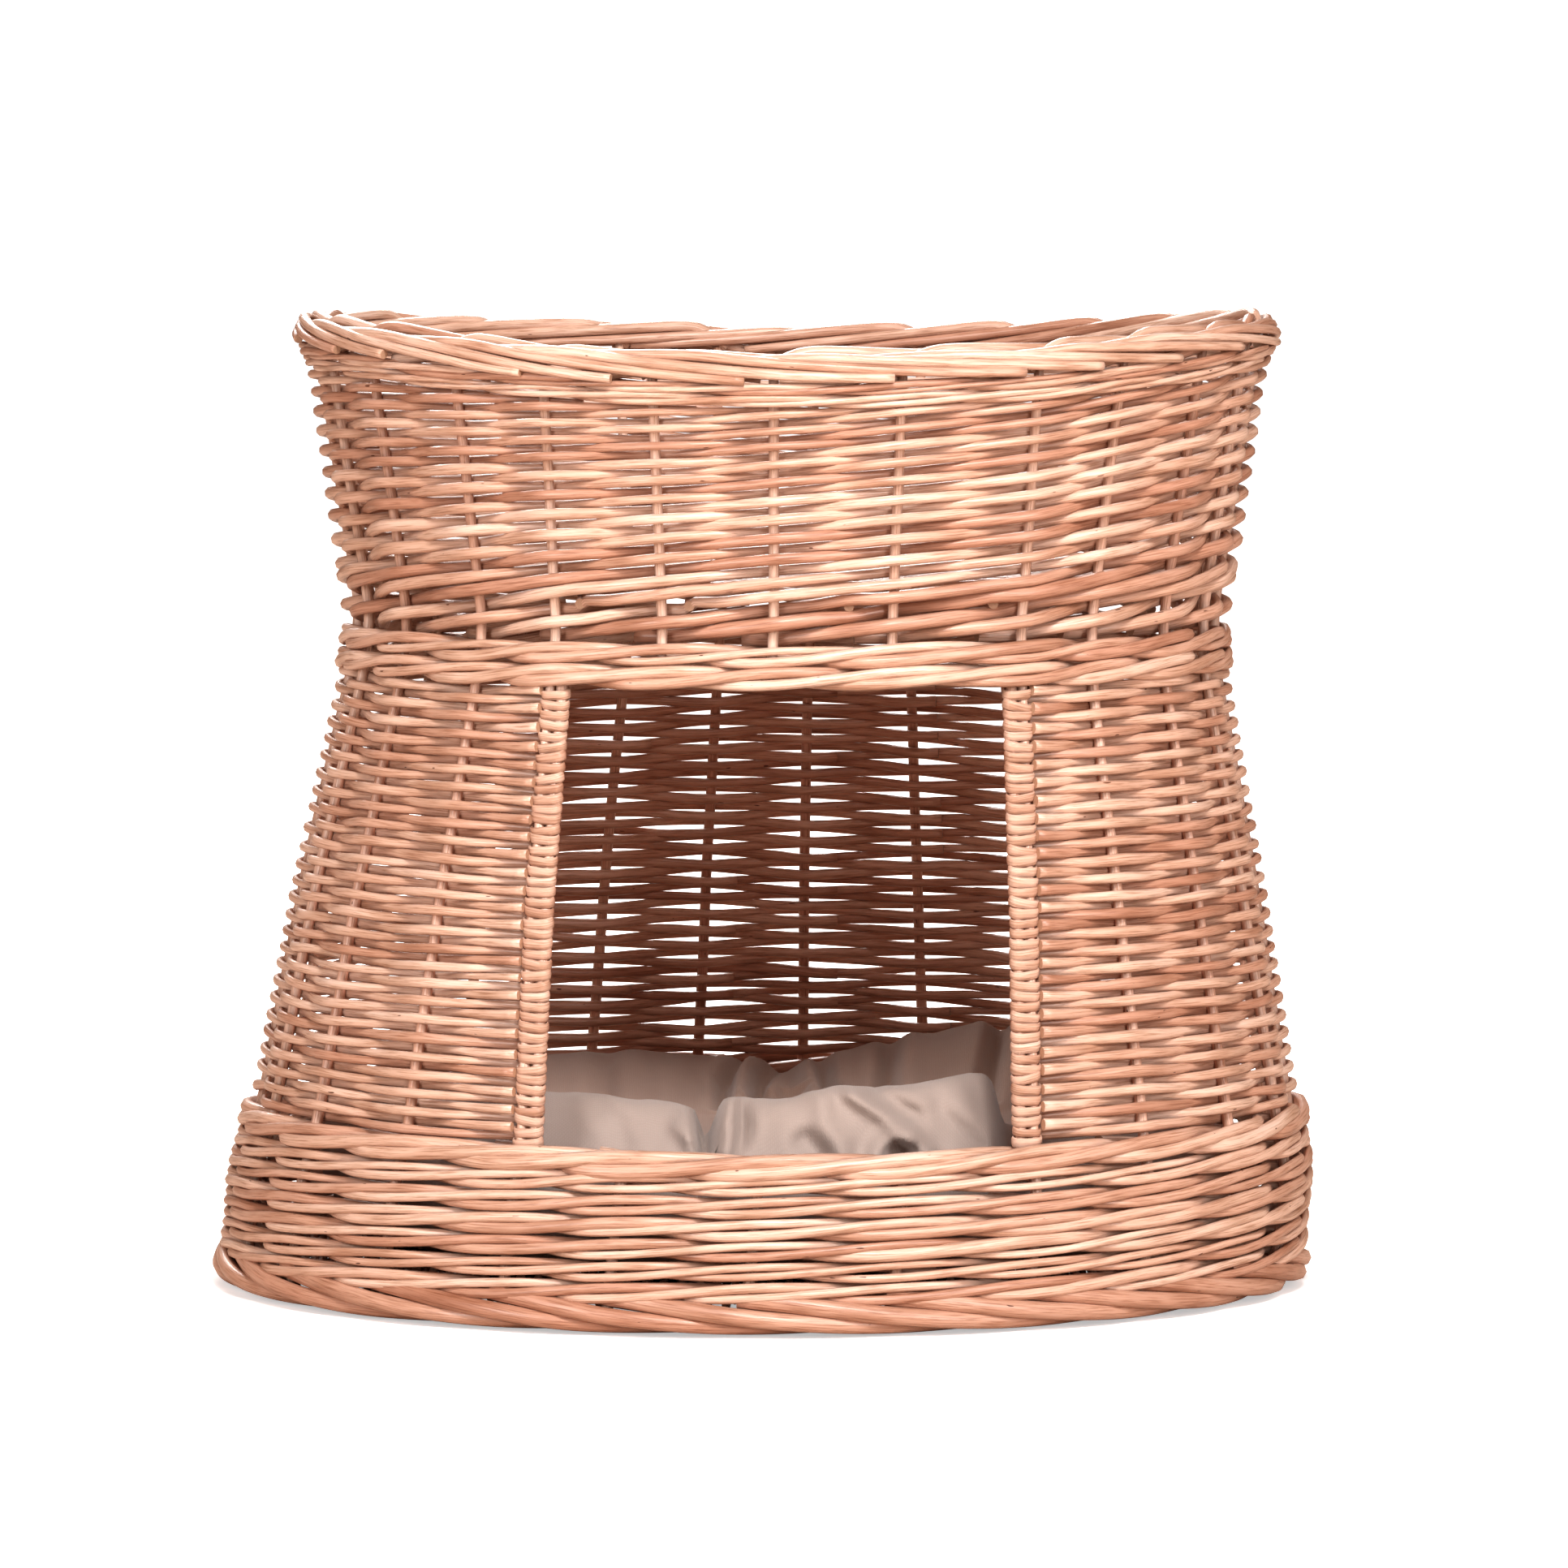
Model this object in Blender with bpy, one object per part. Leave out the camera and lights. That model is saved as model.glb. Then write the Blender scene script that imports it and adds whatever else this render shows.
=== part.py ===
"""Wicker pet bed basket: a free-standing oval willow basket with a cave below and an open bed on top.

Units are metres, +Z is up. The basket stands on the XY plane with its footprint centred on the origin. The long
axis of the oval runs along X and the doorway faces -Y. Angles round the oval are parametric degrees, counted from
the middle of the doorway towards +X. The wall leans a little towards +X as it rises, as hand-woven ones do.
"""

import math

import bmesh
import bpy
from mathutils import Matrix, Vector

# ---------------------------------------------------------------- driving dimensions
AXIS_DIFFERENCE = 0.050       # the oval's half-length along X minus its half-width along Y
PIECE_GAP = 0.0004            # clearance between neighbouring pieces
ROD_END_GAP = 0.0012          # clearance at the end of a leaning rod

STAKE_COUNT = 24
STAKE_STEP = 360.0 / STAKE_COUNT
STAKE_RADIUS = 0.00275
# Height, and the half-length along X of the oval through the stakes' centrelines at that height.
STAKE_PROFILE = (
    (0.000, 0.2650),
    (0.060, 0.2648),
    (0.090, 0.2572),
    (0.200, 0.2380),
    (0.308, 0.2160),
    (0.335, 0.2136),
    (0.364, 0.2178),
    (0.500, 0.2387),
)
# Height, and where the middle of the hand-built oval is along X. The foot stands a little to one side of the wall.
CENTRE_SHIFT = (
    (0.018, -0.0020),
    (0.060, 0.0020),
    (0.090, 0.0038),
    (0.200, 0.0058),
    (0.308, 0.0085),
    (0.335, 0.0098),
    (0.500, 0.0102),
)
# Degrees that some stakes stand off an even spacing, by stake number.
STAKE_DRIFT = {
    -11: -6.0, -10: -8.0, -9: -6.0, -8: -4.0, -7: -2.0, -4: -0.7, -3: 1.0, -2: 0.8,
    -1: -1.2, 0: -1.6, 1: -1.2, 3: -0.8, 9: -0.6, 10: -1.5, 11: -2.5, -12: -3.3,
}

FOOT_BORDER_HEIGHT = 0.0180
FOOT_BORDER_WIDTH = 0.0160
FOOT_BORDER_HALF_LENGTH = 0.2655   # to the middle of the border's width

TRAY_BAND_EDGES = (0.0184, 0.0600, 0.0785)
TRAY_ROD = 0.0055
TRAY_RIM_TOP = 0.0905
TRAY_RIM_ROD = 0.0070

DOOR_SILL = 0.0910
DOOR_LINTEL = 0.3080
DOOR_STAKES = (-1, 0, 1)           # stake numbers that the doorway interrupts
JAMB_STAKE = 2                     # stake number of the jamb, on each side
# Height, and how many degrees the jamb stakes stand further round than their even share.
JAMB_LEAN = ((0.090, -1.0), (0.308, 2.4), (0.364, 2.2), (0.500, 1.0))
DOOR_POST_SPACING = 0.0063         # from a jamb stake to its door post, along the wall
DOOR_WRAP_THICKNESS = 0.0038

CAVE_BAND_COUNT = 6
CAVE_ROD = 0.0042

WAIST_WALE_TOP = 0.3300
WAIST_RAND_TOP = 0.3444
UPPER_BASE_BOTTOM = 0.3516
UPPER_BASE_TOP = 0.3636
WALE_ROD = 0.0060
WAIST_ROD = 0.0052

UPPER_BAND_COUNT = 3
UPPER_ROD = 0.0044
TOP_BORDER_BOTTOM = 0.4450         # underside of the top border at the front and back
TOP_BORDER_RISE = 0.0135           # how much higher the border sits at the two ends
# Section of the top border: outward offset from the stake line, and height above the border's underside.
TOP_BORDER_SECTION = (
    (-0.0045, 0.0000),
    (0.0060, 0.0000),
    (0.0130, 0.0080),
    (0.0165, 0.0210),
    (0.0120, 0.0285),
    (0.0020, 0.0285),
    (-0.0040, 0.0200),
    (-0.0060, 0.0070),
)

BASE_WEAVE_HALF_LENGTH = 0.2565
BASE_WEAVE_BOTTOM = 0.0105
BASE_WEAVE_THICKNESS = 0.0060
BASE_STICK_RADIUS = 0.0032
BASE_STICK_HEIGHT = 0.0068
BASE_STICK_SPACING = 0.0560
BASE_STICK_COUNT = 5

UPPER_FLOOR_HALF_LENGTH = 0.2050
UPPER_FLOOR_BOTTOM = 0.3516
UPPER_FLOOR_THICKNESS = 0.0050
UPPER_STICK_RADIUS = 0.0030
UPPER_STICK_HEIGHT = 0.3480
UPPER_STICK_PLACES = (-0.100, -0.047, 0.030, 0.100)   # from the floor's centre
UPPER_STICK_OVERHANG = 0.0075      # how far a cut end reaches beyond the stake line

CUSHION_HALF_LENGTH = 0.2320
CUSHION_HALF_WIDTH = 0.1800
CUSHION_BOTTOM = 0.0180
CUSHION_TOP = 0.1206

FLAT_HALF_ANGLE = 1.2              # a band runs level past a stake for this many degrees each way
BORDER_SEGMENTS = 48

WILLOW = ("willow", (0.66, 0.38, 0.24, 1.0), 0.42)
WILLOW_STAKE = ("willow_stake", (0.60, 0.31, 0.18, 1.0), 0.45)
COTTON = ("cotton", (0.60, 0.46, 0.38, 1.0), 0.90)


# ---------------------------------------------------------------- scene helpers
def clear_scene():
    for item in list(bpy.data.objects):
        bpy.data.objects.remove(item, do_unlink=True)


def make_collection(name):
    collection = bpy.data.collections.new(name)
    bpy.context.scene.collection.children.link(collection)
    return collection


def get_material(finish):
    """Return the material of a (name, colour, roughness) finish, made on first use."""
    name, colour, roughness = finish
    material = bpy.data.materials.get(name)
    if material is None:
        material = bpy.data.materials.new(name)
        material.use_nodes = True
        shader = material.node_tree.nodes["Principled BSDF"]
        shader.inputs["Base Color"].default_value = colour
        shader.inputs["Roughness"].default_value = roughness
        shader.inputs["Metallic"].default_value = 0.0
    return material


def place(item, finish, location):
    """Give an object its material, stand it at a location under the basket's empty and link it."""
    item.data.materials.append(get_material(finish))
    item.location = location
    item.parent = BASKET
    COLLECTION.objects.link(item)


# ---------------------------------------------------------------- the oval
def interpolate(points, position):
    """Value of a polyline of (position, value) points, held level beyond its ends."""
    if position <= points[0][0]:
        return points[0][1]
    for (start, first), (end, second) in zip(points, points[1:]):
        if position <= end:
            return first + (second - first) * (position - start) / (end - start)
    return points[-1][1]


def oval_point(angle, height, offset=0.0):
    """Point on the stakes' oval at a height, moved outwards by an offset."""
    half_length = interpolate(STAKE_PROFILE, height) + offset
    turn = math.radians(angle)
    return Vector((
        interpolate(CENTRE_SHIFT, height) + half_length * math.sin(turn),
        -(half_length - AXIS_DIFFERENCE) * math.cos(turn),
        height,
    ))


def stake_angle(number, height):
    """Angle of a stake at a height. The two jamb stakes lean apart to keep the doorway's sides straight."""
    half_turn = STAKE_COUNT // 2
    number = (number + half_turn) % STAKE_COUNT - half_turn
    angle = number * STAKE_STEP + STAKE_DRIFT.get(number, 0.0)
    if abs(number) == JAMB_STAKE:
        angle += interpolate(JAMB_LEAN, height) * math.copysign(1.0, number)
    return angle


def degrees_along_wall(angle, height, distance):
    """Degrees that a distance along the wall covers near an angle."""
    half_length = interpolate(STAKE_PROFILE, height)
    turn = math.radians(angle)
    metres_per_radian = math.hypot(half_length * math.cos(turn), (half_length - AXIS_DIFFERENCE) * math.sin(turn))
    return math.degrees(distance / metres_per_radian)


def border_underside(angle):
    """Height of the top border's underside, which rises towards the two ends of the oval."""
    return TOP_BORDER_BOTTOM + TOP_BORDER_RISE * math.sin(math.radians(angle)) ** 2


# ---------------------------------------------------------------- shape builders
def build_loft(name, sections, closed, finish, location):
    """Solid through a row of matching point loops. It closes on itself, or is capped at both ends."""
    base = Vector(location)
    mesh = bpy.data.meshes.new(name)
    shape = bmesh.new()
    loops = [[shape.verts.new(point - base) for point in section] for section in sections]
    pairs = list(zip(loops, loops[1:]))
    if closed:
        pairs.append((loops[-1], loops[0]))
    else:
        shape.faces.new(loops[0])
        shape.faces.new(loops[-1])
    corners = len(loops[0])
    for loop, following in pairs:
        for corner in range(corners):
            beside = (corner + 1) % corners
            shape.faces.new((loop[corner], loop[beside], following[beside], following[corner]))
    bmesh.ops.recalc_face_normals(shape, faces=shape.faces)
    shape.to_mesh(mesh)
    shape.free()
    item = bpy.data.objects.new(name, mesh)
    place(item, finish, base)
    return item


def build_rod(name, points, radius, finish):
    """Round rod along a polyline, with its origin at its first point."""
    base = points[0]
    curve = bpy.data.curves.new(name, "CURVE")
    curve.dimensions = "3D"
    curve.bevel_depth = radius
    curve.bevel_resolution = 1
    curve.use_fill_caps = True
    spline = curve.splines.new("POLY")
    spline.points.add(len(points) - 1)
    for spline_point, point in zip(spline.points, points):
        spline_point.co = (*(point - base), 1.0)
    item = bpy.data.objects.new(name, curve)
    place(item, finish, base)
    return item


def build_oval_plate(name, half_length, bottom, thickness, finish):
    bpy.ops.mesh.primitive_cylinder_add(vertices=BORDER_SEGMENTS, radius=1.0, depth=1.0)
    item = bpy.context.active_object
    item.name = name
    item.data.name = name
    item.data.transform(Matrix.Diagonal((half_length, half_length - AXIS_DIFFERENCE, thickness, 1.0)))
    for collection in list(item.users_collection):
        collection.objects.unlink(item)
    place(item, finish, (interpolate(CENTRE_SHIFT, bottom), 0.0, bottom + thickness / 2))
    return item


# ---------------------------------------------------------------- woven bands
def band_levels(bottom, top):
    """Heights at which a band needs points: its two edges and any bend of the wall between them."""
    bends = [height for height, _ in STAKE_PROFILE if bottom < height < top]
    return [bottom, *bends, top]


def band_section(angle_at, offset, thickness, levels):
    """Loop of points that climbs the outer face of a band and comes down its inner face."""
    outer = [oval_point(angle_at(height), height, offset + thickness / 2) for height in levels]
    inner = [oval_point(angle_at(height), height, offset - thickness / 2) for height in reversed(levels)]
    return outer + inner


def build_band(name, levels_at, rod, phase, stakes, end_distance=None):
    """Woven band that passes outside one stake and inside the next.

    levels_at gives the band's heights at a stake's angle. stakes lists the stake numbers it passes. With an
    end_distance the band stops that far along the wall from the jamb stake on each side, otherwise it is a ring.
    """
    swing = STAKE_RADIUS + PIECE_GAP + rod / 2
    sections = []
    for number in stakes:
        side = 1.0 if (number + phase) % 2 == 0 else -1.0
        for shift in (-FLAT_HALF_ANGLE, FLAT_HALF_ANGLE):
            levels = levels_at(stake_angle(number, 0.0))

            def angle_at(height, number=number, shift=shift):
                return stake_angle(number, height) + shift

            sections.append(band_section(angle_at, side * swing, rod, levels))
    if end_distance is not None:
        first_levels = levels_at(0.0)

        def start_at(height):
            jamb = stake_angle(JAMB_STAKE, height)
            return jamb + degrees_along_wall(jamb, height, end_distance)

        def end_at(height):
            jamb = stake_angle(-JAMB_STAKE, height)
            return jamb - degrees_along_wall(jamb, height, end_distance)

        sections.insert(0, band_section(start_at, 0.0, rod, first_levels))
        sections.append(band_section(end_at, 0.0, rod, first_levels))
    lowest = min(point.z for section in sections for point in section)
    return build_loft(name, sections, end_distance is None, WILLOW, (0.0, 0.0, lowest))


def level_band(bottom, top):
    """Heights of a band whose edges are level all the way round."""
    levels = band_levels(bottom, top)
    return lambda angle: levels


def upper_band(share_from, share_to):
    """Heights of a band that takes a share of the upper wall, whose top edge follows the top border."""
    def levels_at(angle):
        bottom = UPPER_BASE_TOP + PIECE_GAP
        height = border_underside(angle) - PIECE_GAP - bottom
        return [bottom + share_from * height, bottom + share_to * height - PIECE_GAP]

    return levels_at


def build_tray():
    all_stakes = range(STAKE_COUNT)
    names = ("tray_wall_lower", "tray_wall_upper")
    for phase, (name, bottom, top) in enumerate(zip(names, TRAY_BAND_EDGES, TRAY_BAND_EDGES[1:])):
        build_band(name, level_band(bottom, top - PIECE_GAP), TRAY_ROD, phase, all_stakes)
    rim = level_band(TRAY_BAND_EDGES[-1], TRAY_RIM_TOP)
    build_band("tray_rim", rim, TRAY_RIM_ROD, 0, all_stakes)


def build_cave_wall():
    wall_stakes = range(JAMB_STAKE + 1, STAKE_COUNT - JAMB_STAKE)
    end_distance = STAKE_RADIUS + DOOR_WRAP_THICKNESS + 3 * PIECE_GAP
    height = (DOOR_LINTEL - DOOR_SILL) / CAVE_BAND_COUNT
    for number in range(CAVE_BAND_COUNT):
        bottom = DOOR_SILL + number * height
        levels = level_band(bottom, bottom + height - PIECE_GAP)
        build_band(f"cave_wall_{number + 1}", levels, CAVE_ROD, number, wall_stakes, end_distance)


def build_waist():
    all_stakes = range(STAKE_COUNT)
    build_band("waist_wale", level_band(DOOR_LINTEL, WAIST_WALE_TOP), WALE_ROD, 0, all_stakes)
    rand = level_band(WAIST_WALE_TOP + PIECE_GAP, WAIST_RAND_TOP)
    build_band("waist_rand", rand, WAIST_ROD, 1, all_stakes)
    build_band("upper_base_wale", level_band(UPPER_BASE_BOTTOM, UPPER_BASE_TOP), WALE_ROD, 0, all_stakes)


def build_upper_wall():
    all_stakes = range(STAKE_COUNT)
    for number in range(UPPER_BAND_COUNT):
        levels = upper_band(number / UPPER_BAND_COUNT, (number + 1) / UPPER_BAND_COUNT)
        build_band(f"upper_wall_{number + 1}", levels, UPPER_ROD, number, all_stakes)


# ---------------------------------------------------------------- borders
def build_foot_border():
    """Plaited ring that the basket stands on, flat underneath."""
    half = FOOT_BORDER_WIDTH / 2
    centre = interpolate(CENTRE_SHIFT, 0.0)
    flat = half * 0.62
    height = FOOT_BORDER_HEIGHT
    outline = (
        (-flat, 0.0), (flat, 0.0), (half, 0.25 * height), (half, 0.70 * height),
        (flat, height), (-flat, height), (-half, 0.70 * height), (-half, 0.25 * height),
    )
    sections = []
    for step in range(BORDER_SEGMENTS):
        turn = math.radians(step * 360.0 / BORDER_SEGMENTS)
        section = []
        for offset, level in outline:
            half_length = FOOT_BORDER_HALF_LENGTH + offset
            half_width = half_length - AXIS_DIFFERENCE
            section.append(Vector((centre + half_length * math.sin(turn), -half_width * math.cos(turn), level)))
        sections.append(section)
    build_loft("foot_border", sections, True, WILLOW, (0.0, 0.0, 0.0))


def build_top_border():
    """Thick rolled rim that leans outwards and rises towards the ends of the oval."""
    sections = []
    for step in range(BORDER_SEGMENTS):
        angle = step * 360.0 / BORDER_SEGMENTS
        underside = border_underside(angle)
        section = []
        for offset, level in TOP_BORDER_SECTION:
            point = oval_point(angle, underside, offset)
            point.z += level
            section.append(point)
        sections.append(section)
    build_loft("top_border", sections, True, WILLOW, (0.0, 0.0, TOP_BORDER_BOTTOM))


# ---------------------------------------------------------------- stakes and door posts
def stake_points(number, bottom, top, shift_distance=0.0):
    """Centreline of a stake between two heights, or of a rod that stands beside it along the wall."""
    points = []
    for height in band_levels(bottom, top):
        angle = stake_angle(number, height)
        angle -= math.copysign(degrees_along_wall(angle, height, shift_distance), number)
        points.append(oval_point(angle, height))
    return points


def build_stakes():
    foot = FOOT_BORDER_HEIGHT + ROD_END_GAP
    for number in range(-STAKE_COUNT // 2 + 1, STAKE_COUNT // 2 + 1):
        tag = f"{number % STAKE_COUNT:02d}"
        top = border_underside(stake_angle(number, TOP_BORDER_BOTTOM)) - ROD_END_GAP
        if number in DOOR_STAKES:
            build_rod(f"sill_stake_{tag}", stake_points(number, foot, TRAY_RIM_TOP), STAKE_RADIUS, WILLOW_STAKE)
            build_rod(f"lintel_stake_{tag}", stake_points(number, DOOR_LINTEL, top), STAKE_RADIUS, WILLOW_STAKE)
        else:
            build_rod(f"stake_{tag}", stake_points(number, foot, top), STAKE_RADIUS, WILLOW_STAKE)


def build_door_post(side, number):
    bottom = DOOR_SILL + ROD_END_GAP
    top = DOOR_LINTEL - ROD_END_GAP
    points = stake_points(number, bottom, top, DOOR_POST_SPACING)
    build_rod(f"door_post_{side}", points, STAKE_RADIUS, WILLOW_STAKE)


def build_door_wrap(side, number):
    """Sleeve of tight turns round a jamb stake and its door post, open at both ends."""
    bottom = DOOR_SILL + ROD_END_GAP
    top = DOOR_LINTEL - ROD_END_GAP
    levels = band_levels(bottom, top)
    stake = stake_points(number, bottom, top)
    post = stake_points(number, bottom, top, DOOR_POST_SPACING)
    inner_radius = STAKE_RADIUS + PIECE_GAP
    outer_radius = inner_radius + DOOR_WRAP_THICKNESS
    sections = []
    for centres, start in ((stake, 0.0), (post, 180.0)):
        other = post if centres is stake else stake
        for step in range(5):
            turn = math.radians(start + step * 45.0 - 90.0)
            outer = []
            inner = []
            for level in range(len(levels)):
                along = (stake[level] - post[level]).normalized()
                across = Vector((-along.y, along.x, 0.0))
                direction = along * math.cos(turn) + across * math.sin(turn)
                outer.append(centres[level] + direction * outer_radius)
                inner.append(centres[level] + direction * inner_radius)
            sections.append(outer + inner[::-1])
    build_loft(f"door_wrap_{side}", sections, True, WILLOW, stake[0])


def build_doorway():
    for side, number in (("right", JAMB_STAKE), ("left", -JAMB_STAKE)):
        build_door_post(side, number)
        build_door_wrap(side, number)


# ---------------------------------------------------------------- floors
def build_base():
    """Oval bottom that the foot border surrounds, with its lengthwise sticks underneath."""
    build_oval_plate("base_weave", BASE_WEAVE_HALF_LENGTH, BASE_WEAVE_BOTTOM, BASE_WEAVE_THICKNESS, WILLOW)
    half_length = FOOT_BORDER_HALF_LENGTH - FOOT_BORDER_WIDTH / 2 - BASE_STICK_RADIUS
    half_width = half_length - AXIS_DIFFERENCE
    centre = interpolate(CENTRE_SHIFT, 0.0)
    for number in range(BASE_STICK_COUNT):
        y = (number - (BASE_STICK_COUNT - 1) / 2) * BASE_STICK_SPACING
        reach = half_length * math.sqrt(1.0 - (y / half_width) ** 2)
        points = [Vector((centre - reach, y, BASE_STICK_HEIGHT)), Vector((centre + reach, y, BASE_STICK_HEIGHT))]
        build_rod(f"base_stick_{number + 1}", points, BASE_STICK_RADIUS, WILLOW_STAKE)


def build_upper_floor():
    """Floor of the upper bed, on sticks that run front to back and poke out through the wall."""
    build_oval_plate("upper_floor_weave", UPPER_FLOOR_HALF_LENGTH, UPPER_FLOOR_BOTTOM, UPPER_FLOOR_THICKNESS, WILLOW)
    half_length = interpolate(STAKE_PROFILE, UPPER_STICK_HEIGHT)
    half_width = half_length - AXIS_DIFFERENCE
    centre = interpolate(CENTRE_SHIFT, UPPER_STICK_HEIGHT)
    for number, place_along in enumerate(UPPER_STICK_PLACES):
        reach = half_width * math.sqrt(1.0 - (place_along / half_length) ** 2) + UPPER_STICK_OVERHANG
        x = centre + place_along
        points = [Vector((x, -reach, UPPER_STICK_HEIGHT)), Vector((x, reach, UPPER_STICK_HEIGHT))]
        build_rod(f"upper_floor_stick_{number + 1}", points, UPPER_STICK_RADIUS, WILLOW_STAKE)


# ---------------------------------------------------------------- cushion
def build_cushion():
    """Loose oval pad with a crowned top and a flat underside."""
    bpy.ops.mesh.primitive_uv_sphere_add(segments=28, ring_count=10, radius=1.0)
    item = bpy.context.active_object
    item.name = "lower_cushion"
    item.data.name = "lower_cushion"
    half_height = (CUSHION_TOP - CUSHION_BOTTOM) / 2
    for vertex in item.data.vertices:
        radius = math.hypot(vertex.co.x, vertex.co.y)
        if radius > 0.0:
            fuller = radius ** 0.38
            vertex.co.x *= fuller / radius
            vertex.co.y *= fuller / radius
        level = math.copysign(abs(vertex.co.z) ** 0.62, vertex.co.z)
        vertex.co.z = max(level, -0.92) * half_height
        vertex.co.x *= CUSHION_HALF_LENGTH
        vertex.co.y *= CUSHION_HALF_WIDTH
    for collection in list(item.users_collection):
        collection.objects.unlink(item)
    item.data.shade_smooth()
    place(item, COTTON, (interpolate(CENTRE_SHIFT, DOOR_SILL), 0.0, CUSHION_BOTTOM + 0.92 * half_height))


clear_scene()
COLLECTION = make_collection("wicker_pet_bed_basket")
BASKET = bpy.data.objects.new("basket_frame", None)
COLLECTION.objects.link(BASKET)
build_foot_border()
build_tray()
build_cave_wall()
build_waist()
build_upper_wall()
build_top_border()
build_stakes()
build_doorway()
build_base()
build_upper_floor()
build_cushion()
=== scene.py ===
"""Looks of the wicker pet bed basket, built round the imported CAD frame: every willow rod is its own tube.

Positions on the wall are given as a stake number s, counted from the middle of the doorway towards +X and not
always whole, a height, and an outward offset from the surface that the stakes' centrelines lie in.
"""
import math

import bpy
import numpy as np
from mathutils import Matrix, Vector


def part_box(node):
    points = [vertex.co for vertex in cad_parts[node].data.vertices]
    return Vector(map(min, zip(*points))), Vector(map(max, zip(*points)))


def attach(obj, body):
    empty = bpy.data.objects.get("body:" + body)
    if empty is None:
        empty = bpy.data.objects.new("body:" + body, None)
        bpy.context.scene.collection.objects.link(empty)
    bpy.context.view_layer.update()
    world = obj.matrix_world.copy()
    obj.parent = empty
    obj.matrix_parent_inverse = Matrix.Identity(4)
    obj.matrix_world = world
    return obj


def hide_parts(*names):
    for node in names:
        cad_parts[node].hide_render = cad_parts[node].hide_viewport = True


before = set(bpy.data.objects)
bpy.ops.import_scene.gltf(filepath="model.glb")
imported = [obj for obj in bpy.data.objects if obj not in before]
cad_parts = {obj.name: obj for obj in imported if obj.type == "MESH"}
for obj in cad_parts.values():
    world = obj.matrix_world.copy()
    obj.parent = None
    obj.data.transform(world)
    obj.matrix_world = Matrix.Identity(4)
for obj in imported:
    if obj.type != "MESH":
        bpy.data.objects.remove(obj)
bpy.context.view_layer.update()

# ---------------------------------------------------------------- settings, in metres
STAKES = 24
STAKE_STEP = 360.0 / STAKES
JAMB = 2                        # stake number beside the doorway, on each side
ROD_SIDES = 8
SAMPLES = 10                    # points per stake space on a woven rod
STAKE_RADIUS = 0.00275
PROFILE_SMOOTHING = 0.010       # half the height over which a bend of the wall is rounded

CAVE_ROWS = 50
TRAY_ROWS = 6

random = np.random.default_rng(41)


# ---------------------------------------------------------------- the wall, read from the CAD stakes
def centreline(node):
    """Points on the centreline of an upright CAD rod, one at each of its bends."""
    points = np.array([vertex.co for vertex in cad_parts[node].data.vertices])
    points = points[np.argsort(points[:, 2])]
    breaks = np.where(np.diff(points[:, 2]) > 0.004)[0] + 1
    return np.array([(ring.min(0) + ring.max(0)) / 2 for ring in np.split(points, breaks)])


HEIGHTS = np.arange(-0.02, 0.54, 0.001)


def along_height(levels, values):
    """Values at HEIGHTS from a centreline's values at its levels, run on in a straight line past its ends."""
    low_slope = (values[1] - values[0]) / (levels[1] - levels[0])
    high_slope = (values[-1] - values[-2]) / (levels[-1] - levels[-2])
    levels = np.concatenate([[-0.1], levels, [0.6]])
    values = np.concatenate([[values[0] - low_slope * (levels[1] + 0.1)], values,
                             [values[-1] + high_slope * (0.6 - levels[-2])]])
    return np.interp(HEIGHTS, levels, values)


def rounded(values):
    """The same values with the bends of the wall rounded."""
    width = 2 * int(PROFILE_SMOOTHING * 1000) + 1
    padded = np.pad(values, width // 2, mode="reflect", reflect_type="odd")
    return np.convolve(padded, np.ones(width) / width, mode="valid")


def stake_nodes(number):
    """The CAD nodes of a stake, from the bottom up."""
    tag = f"{number % STAKES:02d}"
    names = [f"stake_{tag}", f"sill_stake_{tag}", f"lintel_stake_{tag}"]
    return [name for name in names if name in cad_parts]


def stake_line(number):
    """Centreline of a stake at HEIGHTS: x and y."""
    line = np.concatenate([centreline(name) for name in stake_nodes(number)])
    return along_height(line[:, 2], line[:, 0]), along_height(line[:, 2], line[:, 1])


def read_wall():
    """Half-length, half-width and centre of the stakes' oval, and each stake's angle on it, at HEIGHTS."""
    lines = [stake_line(number) for number in range(STAKES)]
    right = lines[STAKES // 4][0]
    left = lines[3 * STAKES // 4][0]
    half_length = (right - left) / 2
    centre = (right + left) / 2
    back_x, back_y = lines[STAKES // 2]
    half_width = back_y / np.sqrt(1.0 - ((back_x - centre) / half_length) ** 2)
    angles = np.array([np.arctan2((x - centre) / half_length, -y / half_width) for x, y in lines])
    angles = np.unwrap(np.vstack([angles, angles[:1] + 2 * np.pi]), axis=0)
    return rounded(half_length), rounded(half_width), rounded(centre), np.array([rounded(row) for row in angles])


HALF_LENGTH, HALF_WIDTH, CENTRE_X, STAKE_ANGLES = read_wall()


def at_height(values, z):
    return np.interp(z, HEIGHTS, values)


def stake_angle(s, z):
    """Angle on the oval, in radians, at stake numbers s and heights z."""
    turns = np.floor(s / STAKES)
    place = s - turns * STAKES
    lower = np.minimum(place.astype(int), STAKES - 1)
    share = place - lower
    step = (z - HEIGHTS[0]) / (HEIGHTS[1] - HEIGHTS[0])
    row = np.clip(step.astype(int), 0, len(HEIGHTS) - 2)
    rest = step - row
    below = STAKE_ANGLES[lower, row] * (1 - rest) + STAKE_ANGLES[lower, row + 1] * rest
    above = STAKE_ANGLES[lower + 1, row] * (1 - rest) + STAKE_ANGLES[lower + 1, row + 1] * rest
    return below * (1 - share) + above * share + turns * 2 * np.pi


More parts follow.
